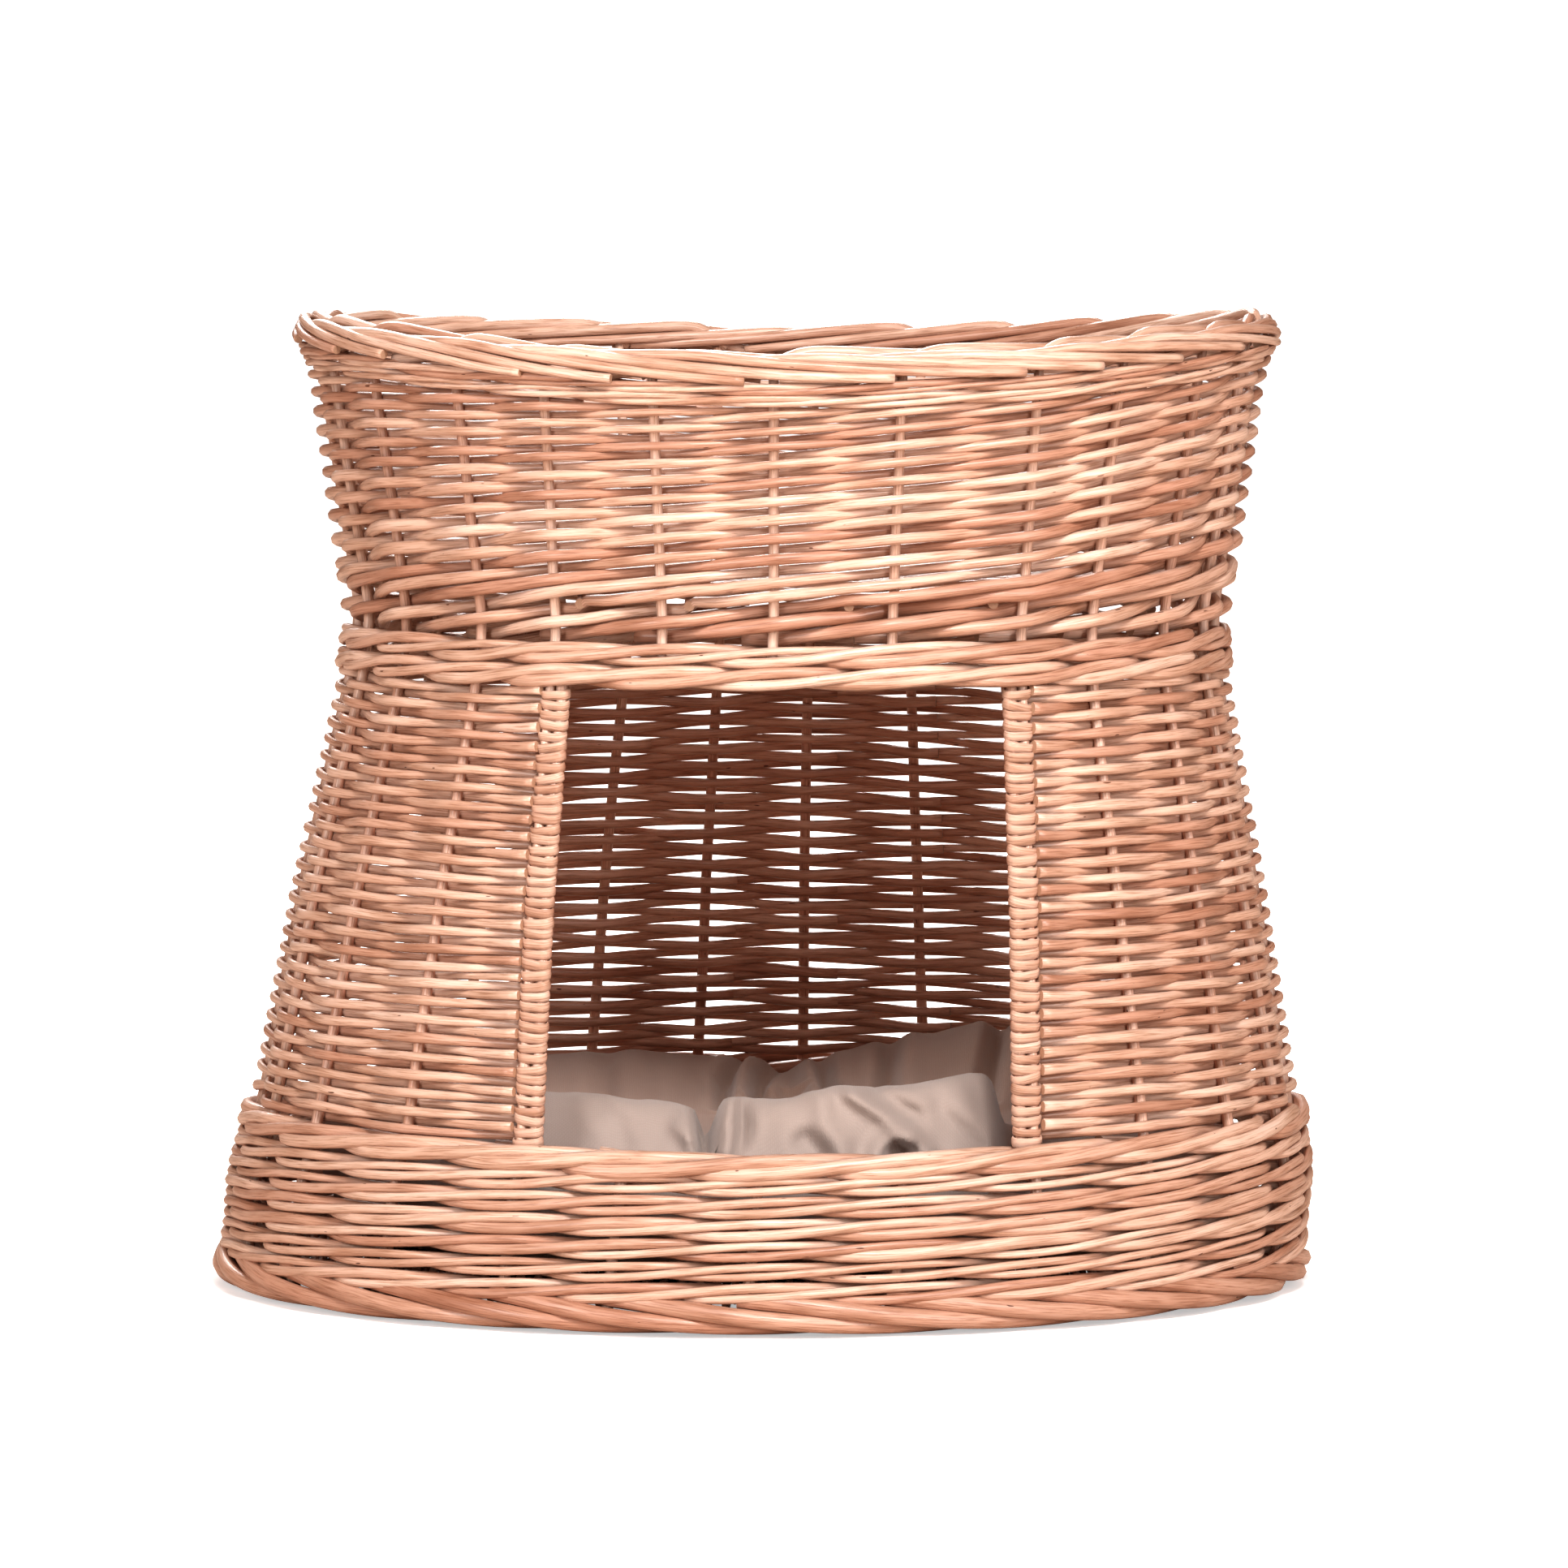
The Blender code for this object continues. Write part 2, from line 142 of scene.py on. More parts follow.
def wall(s, z, offset=0.0):
    """Points at stake numbers s and heights z, moved outwards by an offset."""
    s, z, offset = (np.array(value, float) for value in np.broadcast_arrays(s, z, offset))
    angle = stake_angle(s, z)
    along = at_height(HALF_LENGTH, z) + offset
    across = at_height(HALF_WIDTH, z) + offset
    return np.stack([at_height(CENTRE_X, z) + along * np.sin(angle), -across * np.cos(angle), z], axis=-1)


def node_levels(first, last=None):
    """Lowest and highest height of a CAD node, or from the bottom of one to the top of another."""
    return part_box(first)[0].z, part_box(last or first)[1].z


BORDER_LOW = node_levels("top_border")[0]
BORDER_RISE = node_levels("stake_06")[1] - node_levels("lintel_stake_00")[1]


def border_base(s):
    """Height of the top border's underside, which rises towards the two ends of the oval."""
    return BORDER_LOW + BORDER_RISE * np.sin(np.radians(np.asarray(s) * STAKE_STEP)) ** 2


def rim_flare(s, z):
    """Extra outward lean of the wall as it reaches the top border."""
    rise = np.clip((z - border_base(s) + 0.016) / 0.030, 0.0, 1.3)
    return 0.0045 * rise * rise


def ease(value):
    """Smooth step from 0 to 1."""
    value = np.clip(value, 0.0, 1.0)
    return value * value * (3.0 - 2.0 * value)


def bend(angle):
    """Cosine whose crests are tight and whose slopes are straight, as a stiff rod bends round stakes."""
    return np.arcsin(0.93 * np.cos(angle)) / math.asin(0.93)


def unevenness(s, z, size):
    """Slow rise and fall of the rows that neighbouring rows share."""
    field = np.sin(0.9 * s + 33.0 * z + 1.0) + 0.6 * np.sin(2.1 * s - 51.0 * z + 2.0)
    return size * (field + 0.4 * np.sin(3.7 * s + 90.0 * z))


def wander(s, size, seed, waves=(0.31, 0.83, 1.9)):
    """Slow, repeatable irregularity along a rod."""
    phases = np.random.default_rng(seed).uniform(0.0, 2 * np.pi, len(waves))
    total = sum(np.sin(np.asarray(s) * wave + phase) / (1 + index) for index, (wave, phase) in
                enumerate(zip(waves, phases)))
    return size * total / 1.4


# ---------------------------------------------------------------- rods
def across_frames(path):
    """Two directions square to a path at each of its points, carried along it without twist."""
    tangent = np.gradient(path, axis=0)
    tangent /= np.linalg.norm(tangent, axis=1)[:, None]
    start = np.array([0.0, 0.0, 1.0]) if abs(tangent[0, 2]) < 0.8 else np.array([1.0, 0.0, 0.0])
    first = np.empty_like(path)
    current = start
    for index, direction in enumerate(tangent):
        current = current - direction * float(np.dot(current, direction))
        current = current / math.sqrt(float(np.dot(current, current)))
        first[index] = current
    return first, np.cross(tangent, first)


class Bundle:
    """Round rods gathered into one mesh, with the attributes that the willow material reads."""

    def __init__(self):
        self.points = []
        self.grain = []
        self.tone = []
        self.quads = []
        self.caps = []
        self.count = 0

    def add(self, path, radius, tone=None, closed=False, sides=ROD_SIDES, flatness=1.0):
        """Add a rod along a path. radius may vary along it; a closed rod joins its own end.

        flatness below 1 presses the rod thinner in the direction square to its upright one.
        """
        path = np.asarray(path, float)
        steps = len(path)
        radius = np.broadcast_to(np.asarray(radius, float), (steps,))
        if tone is None:
            tone = random.uniform(0.0, 1.0)
        seed = random.uniform(0.0, 50.0)
        if closed:
            first, second = across_frames(np.vstack([path[-1:], path, path[:1]]))
            first, second = first[1:-1], second[1:-1]
            first = np.tile(first[:1], (steps, 1)) if steps < 3 else first
        else:
            first, second = across_frames(path)
        turn = np.arange(sides) * 2 * np.pi / sides
        upright, sideways = np.cos(turn)[None, :, None], flatness * np.sin(turn)[None, :, None]
        ring = upright * first[:, None, :] + sideways * second[:, None, :]
        points = path[:, None, :] + ring * radius[:, None, None]
        distance = np.append(0.0, np.cumsum(np.linalg.norm(np.diff(path, axis=0), axis=1)))
        grain = np.empty((steps, sides, 3))
        grain[:, :, 0] = distance[:, None] + seed
        grain[:, :, 1] = np.cos(turn)[None, :] * radius[:, None] + seed
        grain[:, :, 2] = np.sin(turn)[None, :] * radius[:, None]
        self.points.append(points.reshape(-1, 3))
        self.grain.append(grain.reshape(-1, 3))
        self.tone.append(np.full(steps * sides, tone))
        rows = np.arange(steps if closed else steps - 1)[:, None]
        around = np.arange(sides)[None, :]
        following = (rows + 1) % steps
        beside = (around + 1) % sides
        quads = np.stack([rows * sides + around, following * sides + around,
                          following * sides + beside, rows * sides + beside], axis=-1).reshape(-1, 4)
        self.quads.append(quads + self.count)
        if not closed:
            self.caps.append(self.count + np.arange(sides))
            self.caps.append(self.count + (steps - 1) * sides + np.arange(sides)[::-1])
        self.count += steps * sides

    def build(self, name, material, body, replaced):
        """Make the mesh object, stand it for CAD nodes and let it ride on a CAD body."""
        quads = np.concatenate(self.quads)
        loops = quads.reshape(-1)
        totals = np.full(len(quads), 4)
        smooth = np.ones(len(quads), bool)
        cut = np.zeros(len(quads), np.float32)
        if self.caps:
            caps = np.concatenate(self.caps)
            sizes = np.array([len(cap) for cap in self.caps])
            loops = np.concatenate([loops, caps])
            totals = np.concatenate([totals, sizes])
            smooth = np.concatenate([smooth, np.zeros(len(sizes), bool)])
            cut = np.concatenate([cut, np.ones(len(sizes), np.float32)])
        mesh = bpy.data.meshes.new(name)
        mesh.vertices.add(self.count)
        mesh.vertices.foreach_set("co", np.concatenate(self.points).astype(np.float32).reshape(-1))
        mesh.loops.add(len(loops))
        mesh.loops.foreach_set("vertex_index", loops.astype(np.int32))
        mesh.polygons.add(len(totals))
        starts = np.append(0, np.cumsum(totals)[:-1])
        mesh.polygons.foreach_set("loop_start", starts.astype(np.int32))
        mesh.polygons.foreach_set("loop_total", totals.astype(np.int32))
        mesh.update(calc_edges=True)
        mesh.polygons.foreach_set("use_smooth", smooth)
        grain = mesh.attributes.new("grain", "FLOAT_VECTOR", "POINT")
        grain.data.foreach_set("vector", np.concatenate(self.grain).astype(np.float32).reshape(-1))
        tone = mesh.attributes.new("tone", "FLOAT", "POINT")
        tone.data.foreach_set("value", np.concatenate(self.tone).astype(np.float32))
        ends = mesh.attributes.new("cut", "FLOAT", "FACE")
        ends.data.foreach_set("value", cut)
        mesh.validate()
        piece = bpy.data.objects.new(name, mesh)
        bpy.context.scene.collection.objects.link(piece)
        mesh.materials.append(material)
        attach(piece, body)
        if replaced:
            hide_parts(*replaced)
        return piece


def tapered(s, radius, amount=0.10, seed=0):
    """Radius along a rod that thins from its butt to its tip and is slightly uneven."""
    share = (s - s[0]) / (s[-1] - s[0])
    return radius * (1.0 + amount * (0.5 - share)) * (1.0 + wander(s, 0.025, seed + 7, (1.1, 2.7, 5.3)))


def rod_pieces(start, end, behind, length, parity_step):
    """Split a woven row into rods that meet behind a stake: (start, end) stake numbers."""
    pieces = []
    at = start
    while end - at > 1.6 * length:
        joint = at + length * random.uniform(0.75, 1.25)
        joint = behind + parity_step * round((joint - behind) / parity_step)
        pieces.append((at, joint + 0.30))
        at = joint - 0.30
    pieces.append((at, end))
    return pieces


def sample(start, end, per_space=SAMPLES):
    return np.linspace(start, end, max(4, int(round((end - start) * per_space)) + 1))


def tuck_start(s, depth):
    """Inward offset of a new rod's butt, that is gone after one stake space."""
    return -depth * (1.0 - ease((s - s[0]) / 0.75))


# ---------------------------------------------------------------- weaves
def stacked_rows(count, radius, spread):
    """Radii of rows of rods and the share of the band's height at each row's middle."""
    radii = radius * (1.0 + random.normal(0.0, spread, count))
    tops = np.cumsum(radii * 2)
    middles = tops - radii
    return radii, middles / tops[-1]


RAND_FLATNESS = 0.74            # the cave's weavers are pressed flat against the stakes
RAND_SPREAD = 0.19              # and beside the doorway are that much wider there than where they cross


def rand_band(bundle, low, high, rows, radius, start, end, swing, lift, length=9.0, phase=0, slips=0):
    """Plain weave: each row passes in front of one stake and behind the next, and its neighbours do the opposite.

    A slip is a place where one rod has been pushed out of its row, which leaves a wider gap.
    """
    radii, shares = stacked_rows(rows, radius, 0.05)
    slip_rows = random.integers(0, rows, slips)
    slip_places = random.uniform(start + 2.5, end - 2.5, slips)
    slip_sizes = random.choice([-1.0, 1.0], slips) * random.uniform(0.0012, 0.0026, slips)
    for row in range(rows):
        behind = (row + phase) % 2
        seed = 1000 + row * 17 + int(radius * 1e5)
        for index, (first, last) in enumerate(rod_pieces(start, end, behind, length, 2)):
            s = sample(first, last)
            wave = -bend(np.pi * (s - behind))
            base = low + (high - low) * shares[row]
            looseness = np.clip(1.0 + unevenness(1.7 * s + 3.0, 1.6 * base, 0.40), 0.25, 1.9)
            # The weave is beaten down tighter beside the doorway than at the back.
            nearness = 0.5 + 0.5 * np.cos(np.radians(s * STAKE_STEP))
            hump = np.sign(wave) * np.abs(wave) ** (1.15 + 0.75 * nearness) * (0.80 - 0.29 * nearness)
            z = base + lift * looseness * hump + wander(s, 0.00025, seed) + unevenness(s, base, 0.0006)
            for slip in np.where(slip_rows == row)[0]:
                z = z + slip_sizes[slip] * np.exp(-((s - slip_places[slip]) / 0.45) ** 2)
            offset = swing * wave
            if index > 0:
                offset = offset + tuck_start(s, radii[row] * 2.0)
            wider = 1.0 + RAND_SPREAD * (0.4 + 0.6 * nearness) * np.abs(wave) ** 1.5
            bundle.add(wall(s, z, offset), tapered(s, radii[row], 0.16, seed + index) * wider, flatness=RAND_FLATNESS)


FRENCH_LOW_HEIGHTS = (0.3322, 0.3392, 0.3462, 0.3531, 0.3595, 0.3652)   # levels of the thick butts of the rods
FRENCH_LEVELS = 23


def french_level_height(s, level):
    """Height of a level of the upper wall's weave: level butts at the bottom, then closer rows up to the border."""
    butts = len(FRENCH_LOW_HEIGHTS)
    low = FRENCH_LOW_HEIGHTS[-1]
    top = border_base(s) - 0.0004
    count = FRENCH_LEVELS - butts + 1
    steps = np.linspace(1.16, 0.84, count)
    shares = np.append(0.0, np.cumsum(steps)) / np.sum(steps)
    share = np.interp(level - (butts - 1), np.arange(count + 1), shares)
    return np.where(level < butts - 1, np.interp(level, np.arange(butts), FRENCH_LOW_HEIGHTS),
                    low + (top - low) * share)


def french_wave(level):
    """Where a rod is at a level: 1 in front of the stake and -1 behind it. It passes two stakes at levels 3 and 4."""
    turn = np.where(level < 3.0, level, np.where(level < 4.0, 3.0, level - 1.0))
    return -bend(np.pi * turn)


def french_rand_wall(bundle, floor_sticks):
    """Weave of one rod per stake, each climbing one row per stake as it runs round, thick end first."""
    for number in range(STAKES):
        own = random.normal(1.0, 0.05)
        s = sample(number - 0.3, number + FRENCH_LEVELS + 0.35)
        level = np.clip(s - number, 0.0, FRENCH_LEVELS)
        wave = french_wave(level)
        base = french_level_height(s, level)
        lift = np.interp(level, [0.0, 4.0, 6.0], [0.0002, 0.0002, 0.00055])
        z = base + lift * wave + wander(s, 0.0003, 300 + number) + unevenness(s, base, 0.0003)
        row_height = french_level_height(s, level + 0.5) - french_level_height(s, level - 0.5)
        butt = np.interp(level, [0.0, 3.0, 4.5], [0.00320, 0.00310, 0.00280])
        thin_part = ease((level - 4.0) / 2.5)
        radius = butt * (1.0 - thin_part) + row_height * 0.535 * thin_part
        swing = STAKE_RADIUS + radius
        offset = swing * wave + rim_flare(s, z)
        offset = offset + tuck_start(s, 0.003)
        path = part_round_sticks(wall(s, z, offset), floor_sticks)
        bundle.add(path, radius * own * (1.0 + wander(s, 0.03, 40 + number, (1.1, 2.7, 5.3))))


def part_round_sticks(path, sticks):
    """Move the points of a rod up or down where a floor stick pokes through the wall, so that it goes round it."""
    path = path.copy()
    for x, z in sticks:
        above = path[:, 2] - z
        near = np.exp(-((path[:, 0] - x) / 0.010) ** 2) * np.exp(-(above / 0.0065) ** 2)
        path[:, 2] += np.where(above >= 0.0, 1.0, -1.0) * 0.0016 * near
    return path


def wale_band(bundle, low_at, high_at, rows, radius, swing, seed, length=12.0, flare=False, spread=0.10):
    """Three-rod wale: each rod passes in front of two stakes and behind the third, twisting like rope."""
    for row in range(rows):
        for strand in range(3):
            behind = (strand + row) % 3
            rod = radius * (1.0 + random.normal(0.0, spread))
            start = -STAKES / 2 + behind
            for index, (first, last) in enumerate(rod_pieces(start, start + STAKES, behind, length, 3)):
                s = sample(first - 0.25 * (index == 0), last)
                turn = (s - behind) / 3.0
                away = 3.0 * np.abs(turn - np.round(turn))
                front = -1.0 + 2.0 * ease((away - 0.10) / 0.74)
                low = low_at(s)
                pitch = (high_at(s) - low) / rows
                z = low + pitch * (row + 0.5) - 0.29 * pitch * np.sin(2 * np.pi * turn)
                z = z + wander(s, 0.0004, seed + row * 31 + strand) + unevenness(s, low + pitch * row, 0.0004)
                offset = swing * front + 0.0006 * ease((away - 0.9) / 0.6)
                if flare:
                    offset = offset + rim_flare(s, z)
                if index > 0:
                    offset = offset + tuck_start(s, rod * 1.9)
                bundle.add(wall(s, z, offset), tapered(s, rod, 0.24, seed + row * 7 + strand + index))


def level(value):
    """A band edge that stays at one height."""
    return lambda s: np.full(np.shape(s), float(value))


# ---------------------------------------------------------------- materials
def node(tree, kind, **values):
    made = tree.nodes.new(kind)
    for key, value in values.items():
        if key in made.inputs:
            made.inputs[key].default_value = value
        else:
            setattr(made, key, value)
    return made


def ramp(tree, source, stops, interpolation="LINEAR"):
    made = tree.nodes.new("ShaderNodeValToRGB")
    made.color_ramp.interpolation = interpolation
    elements = made.color_ramp.elements
    while len(elements) < len(stops):
        elements.new(0.5)
    for element, (position, colour) in zip(elements, stops):
        element.position = position
        element.color = (*colour, 1.0)
    tree.links.new(source, made.inputs["Fac"])
    return made.outputs["Color"]


def mix(tree, kind, amount, first, second):
    made = tree.nodes.new("ShaderNodeMix")
    made.data_type = "RGBA"
    made.blend_type = kind
    for socket, value in ((made.inputs["Factor"], amount), (made.inputs["A"], first), (made.inputs["B"], second)):
        if hasattr(value, "is_linked"):
            tree.links.new(value, socket)
        else:
            socket.default_value = value
    return made.outputs["Result"]


def stretched(tree, vector, scale):
    made = tree.nodes.new("ShaderNodeMapping")
    made.inputs["Scale"].default_value = scale
    tree.links.new(vector, made.inputs["Vector"])
    return made.outputs["Vector"]


def noise(tree, vector, scale, detail=3.0, roughness=0.55):
    made = node(tree, "ShaderNodeTexNoise", Scale=scale, Detail=detail, Roughness=roughness)
    tree.links.new(vector, made.inputs["Vector"])
    return made.outputs["Fac"]


def within(tree, value, none, full):
    """0 at one value and 1 at another, and straight between them."""
    made = tree.nodes.new("ShaderNodeMapRange")
    made.inputs["From Min"].default_value = none
    made.inputs["From Max"].default_value = full
    tree.links.new(value, made.inputs["Value"])
    return made.outputs["Result"]


def painted_cave_shade(tree):
    """1 on the surfaces below the cave's top that face the middle of the cave: painted shade there, darker and
    redder, stands in for the shadow inside the cave.
    """
    place = tree.nodes.new("ShaderNodeTexCoord").outputs["Object"]
    normal = tree.nodes.new("ShaderNodeNewGeometry").outputs["Normal"]
    flat = node(tree, "ShaderNodeVectorMath", operation="MULTIPLY")
    flat.inputs[1].default_value = (1.0, 1.0, 0.0)
    tree.links.new(place, flat.inputs[0])
    outward = node(tree, "ShaderNodeVectorMath", operation="NORMALIZE")
    tree.links.new(flat.outputs["Vector"], outward.inputs[0])
    facing = node(tree, "ShaderNodeVectorMath", operation="DOT_PRODUCT")
    tree.links.new(outward.outputs["Vector"], facing.inputs[0])
    tree.links.new(normal, facing.inputs[1])
    parts = tree.nodes.new("ShaderNodeSeparateXYZ")
    tree.links.new(place, parts.inputs["Vector"])
    both = node(tree, "ShaderNodeMath", operation="MULTIPLY")
    tree.links.new(within(tree, facing.outputs["Value"], 0.1, -0.4), both.inputs[0])
    tree.links.new(within(tree, parts.outputs["Z"], 0.300, 0.275), both.inputs[1])
    return both.outputs["Value"]


def willow_material(name, light, middle, dark):
    """Varnished peeled willow: a tone for each rod, streaks along it, dark knots, a thin clear coat and painted shade
    inside the cave.
    """
    material = bpy.data.materials.new(name)
    material.use_nodes = True
    tree = material.node_tree
    shader = tree.nodes["Principled BSDF"]
    grain = node(tree, "ShaderNodeAttribute", attribute_name="grain").outputs["Vector"]
    tone = node(tree, "ShaderNodeAttribute", attribute_name="tone").outputs["Fac"]
    cut = node(tree, "ShaderNodeAttribute", attribute_name="cut").outputs["Fac"]
    base = ramp(tree, tone, ((0.0, dark), (0.45, middle), (1.0, light)))
    patches = noise(tree, stretched(tree, grain, (18.0, 60.0, 60.0)), 1.0, 2.0)
    shade = ramp(tree, patches, ((0.28, (0.72, 0.62, 0.55)), (0.50, (1.0, 1.0, 1.0)), (0.72, (1.06, 1.10, 1.14))))
    colour = mix(tree, "MULTIPLY", 1.0, base, shade)
    streaks = noise(tree, stretched(tree, grain, (60.0, 1400.0, 1400.0)), 1.0, 4.0)
    lines = ramp(tree, streaks, ((0.33, (0.60, 0.47, 0.38)), (0.50, (0.97, 0.95, 0.93)), (0.66, (1.05, 1.08, 1.11))))
    colour = mix(tree, "MULTIPLY", 0.85, colour, lines)
    knots = noise(tree, stretched(tree, grain, (110.0, 420.0, 420.0)), 1.0, 1.0)
    spots = ramp(tree, knots, ((0.775, (0.0, 0.0, 0.0)), (0.80, (1.0, 1.0, 1.0))))
    colour = mix(tree, "MIX", spots, colour, (0.13, 0.045, 0.02, 1.0))
    colour = mix(tree, "MIX", cut, colour, (0.44, 0.27, 0.18, 1.0))
    # Painted shade: inward-facing surfaces inside the cave are multiplied darker and redder in place of the cave's
    # own shadow.
    colour = mix(tree, "MULTIPLY", painted_cave_shade(tree), colour, (0.98, 0.79, 0.71, 1.0))
    tree.links.new(colour, shader.inputs["Base Color"])
    rough = tree.nodes.new("ShaderNodeMapRange")
    rough.inputs["To Min"].default_value = 0.30
    rough.inputs["To Max"].default_value = 0.52
    tree.links.new(streaks, rough.inputs["Value"])
    tree.links.new(rough.outputs["Result"], shader.inputs["Roughness"])
    shader.inputs["Coat Weight"].default_value = 0.35
    shader.inputs["Coat Roughness"].default_value = 0.22
    bump = node(tree, "ShaderNodeBump", Strength=0.60, Distance=0.0005)
    tree.links.new(streaks, bump.inputs["Height"])
    tree.links.new(bump.outputs["Normal"], shader.inputs["Normal"])
    return material


WILLOW = willow_material("willow_weaver", (0.74, 0.54, 0.435), (0.66, 0.435, 0.330), (0.50, 0.270, 0.185))
# Painted light: the willow of the stakes, door posts and floor sticks is painted lighter than the weavers' willow,
# standing in for the brighter light that the stakes catch.
WILLOW_STAKE_PAINTED_LIGHT = willow_material("willow_stake", (0.84, 0.64, 0.53), (0.76, 0.54, 0.43), (0.64, 0.40, 0.30))


# ---------------------------------------------------------------- wicker pieces
CAVE_LOW, CAVE_HIGH = node_levels("cave_wall_1", "cave_wall_6")
WRAP_LOW = CAVE_LOW - 0.0030       # the turns round the jambs reach down to the rim, which sags there
TRAY_LOW, TRAY_HIGH = node_levels("tray_wall_lower", "tray_wall_upper")
RIM_LOW, RIM_HIGH = node_levels("tray_rim")
WALE_LOW, WALE_HIGH = node_levels("waist_wale")
BASE_STICKS = sorted(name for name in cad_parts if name.startswith("base_stick"))
FLOOR_STICKS = sorted(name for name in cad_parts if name.startswith("upper_floor_stick"))


def sagging(value):
    """A band edge that dips under the doorway, where no wall holds it up."""
    return lambda s: value - 0.0030 * np.exp(-((np.mod(np.asarray(s) + 12.0, 24.0) - 12.0) / 2.1) ** 4)


def build_tray():
    bundle = Bundle()
    wale_band(bundle, level(TRAY_LOW - 0.0030), level(TRAY_HIGH), TRAY_ROWS, 0.00262, 0.0056, 500, spread=0.15)
    bundle.build("tray_wall_rods", WILLOW, "basket", ["tray_wall_lower", "tray_wall_upper"])
    rim = Bundle()
    wale_band(rim, sagging(RIM_LOW), sagging(RIM_HIGH), 1, 0.0032, 0.0064, 700, length=9.0)
    rim.build("tray_rim_rods", WILLOW, "basket", ["tray_rim"])


def build_cave():
    bundle = Bundle()
    edge = JAMB + 0.05
    rand_band(bundle, CAVE_LOW, CAVE_HIGH, CAVE_ROWS, 0.00230, edge, STAKES - edge, 0.0046, 0.00116, slips=34)
    bundle.build("cave_wall_rods", WILLOW, "basket", [f"cave_wall_{n}" for n in range(1, 7)])


def stick_ends():
    """Place along X and height of each stick of the upper floor."""
    ends = []
    for name in FLOOR_STICKS:
        low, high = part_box(name)
        ends.append(((low.x + high.x) / 2, (low.z + high.z) / 2))
    return ends


def build_waist():
    wale = Bundle()
    wale_band(wale, level(WALE_LOW), level(WALE_HIGH), 2, 0.00272, 0.0058, 800)
    wale.build("waist_wale_rods", WILLOW, "basket", ["waist_wale"])


def build_upper_wall():
    bundle = Bundle()
    french_rand_wall(bundle, stick_ends())
    replaced = ["waist_rand", "upper_base_wale", "upper_wall_1", "upper_wall_2", "upper_wall_3"]
    bundle.build("upper_wall_rods", WILLOW, "basket", replaced)


def build_top_border():
    """Fine wale under the rim, a rod per stake laid along its outside, and each stake bent down along its inside."""
    bundle = Bundle()
    wale_band(bundle, border_base, lambda s: border_base(s) + 0.0118, 2, 0.00168, 0.0046, 1000, flare=True)
    outer = (
        (-0.6, 0.3, 1.3, 2.3, 3.3, 3.8),
        (0.0010, 0.0020, 0.0055, 0.0082, 0.0092, 0.0098),
        (0.0120, 0.0205, 0.0242, 0.0196, 0.0145, 0.0128),
    )
    inner = (
        (-0.10, 0.0, 0.12, 0.35, 1.3, 2.3, 3.0),
        (0.0, -0.0002, -0.0012, -0.0024, -0.0050, -0.0050, -0.0005),
        (0.0150, 0.0215, 0.0250, 0.0256, 0.0215, 0.0168, 0.0135),
    )
    for number in range(STAKES):
        for side, (marks, out, up) in enumerate((outer, inner)):
            own = 31 * number + 5 + 400 * side
            end = marks[-1] + random.uniform(-0.45, 0.25)
            s = sample(number + marks[0], number + end, 14)
            run = s - number
            base = border_base(s)
            # The border stands on the wall at its underside, so its own height doesn't push it outwards.
            path = wall(s, base, follow(run, marks, out) + 0.0030 + wander(s, 0.0007, own))
            path[:, 2] += follow(run, marks, up) + wander(s, 0.0011, own + 1)
            radius = 0.00262 * random.uniform(0.90, 1.10)
            bundle.add(path, tapered(s, radius, 0.30, own))
    bundle.build("top_border_rods", WILLOW, "basket", ["top_border"])


def follow(run, marks, values):
    """Smooth curve through values at marks, for the points of a rod of the border."""
    curve = np.interp(run, marks, values)
    padded = np.pad(curve, 3, mode="reflect", reflect_type="odd")
    return np.convolve(padded, np.ones(7) / 7, mode="valid")


def build_foot_border():
    """One thick rod end per stake, laid down and to the right, passing under the next two."""
    bundle = Bundle()
    marks = (0.0, 0.5, 1.0, 1.5, 2.0, 2.5, 2.9)
    out = (0.0015, 0.0058, 0.0072, 0.0062, 0.0006, -0.0065, -0.0090)
    up = (0.0182, 0.0140, 0.0094, 0.0063, 0.0046, 0.0046, 0.0052)
    for number in range(STAKES):
        own = 57 * number + 11
        s = sample(number - 0.05, number + 2.8, 12)
        run = s - number
        offset = follow(run, marks, out) + wander(s, 0.0005, own)
        rise = follow(run, marks, up) + np.abs(wander(s, 0.0003, own + 1))
        path = wall(s, np.full_like(s, 0.010), offset)
        path[:, 2] = rise
        radius = 0.0042 * random.uniform(0.94, 1.06)
        # Painted shade: the foot border's rods get only the darkest tones, standing in for the shade low down on the
        # basket.
        bundle.add(path, tapered(s, radius, 0.18, own), tone=random.uniform(0.0, 0.22))
    bundle.build("foot_border_rods", WILLOW, "basket", ["foot_border"])


def stake_path(number, low, high):
    z = np.linspace(low, high, max(4, int((high - low) / 0.008)))
    s = number + wander(z * 40, 0.006, 900 + number)
    return wall(s, z, wander(z * 40, 0.0002, 950 + number)), z


def build_stakes():
    bundle = Bundle()
    nodes = []
    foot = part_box("foot_border")[1].z - 0.006
    for number in range(STAKES):
        top = float(border_base(number)) + 0.0155
        tag = f"{number:02d}"
        spans = [(foot, top, f"stake_{tag}")]
        if f"sill_stake_{tag}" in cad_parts:
            spans = [(foot, RIM_HIGH - 0.0065, f"sill_stake_{tag}"), (CAVE_HIGH + 0.001, top, f"lintel_stake_{tag}")]
        for low, high, node_name in spans:
            path, z = stake_path(number, low, high)
            taper = np.interp(z, [0.0, 0.5], [1.06, 0.88])
            bundle.add(path, STAKE_RADIUS * taper)
            nodes.append(node_name)
    bundle.build("stake_rods", WILLOW_STAKE_PAINTED_LIGHT, "basket", nodes)


WRAP_ROD = 0.00272
WRAP_PITCH = 0.0049
WRAP_FLATNESS = 0.33


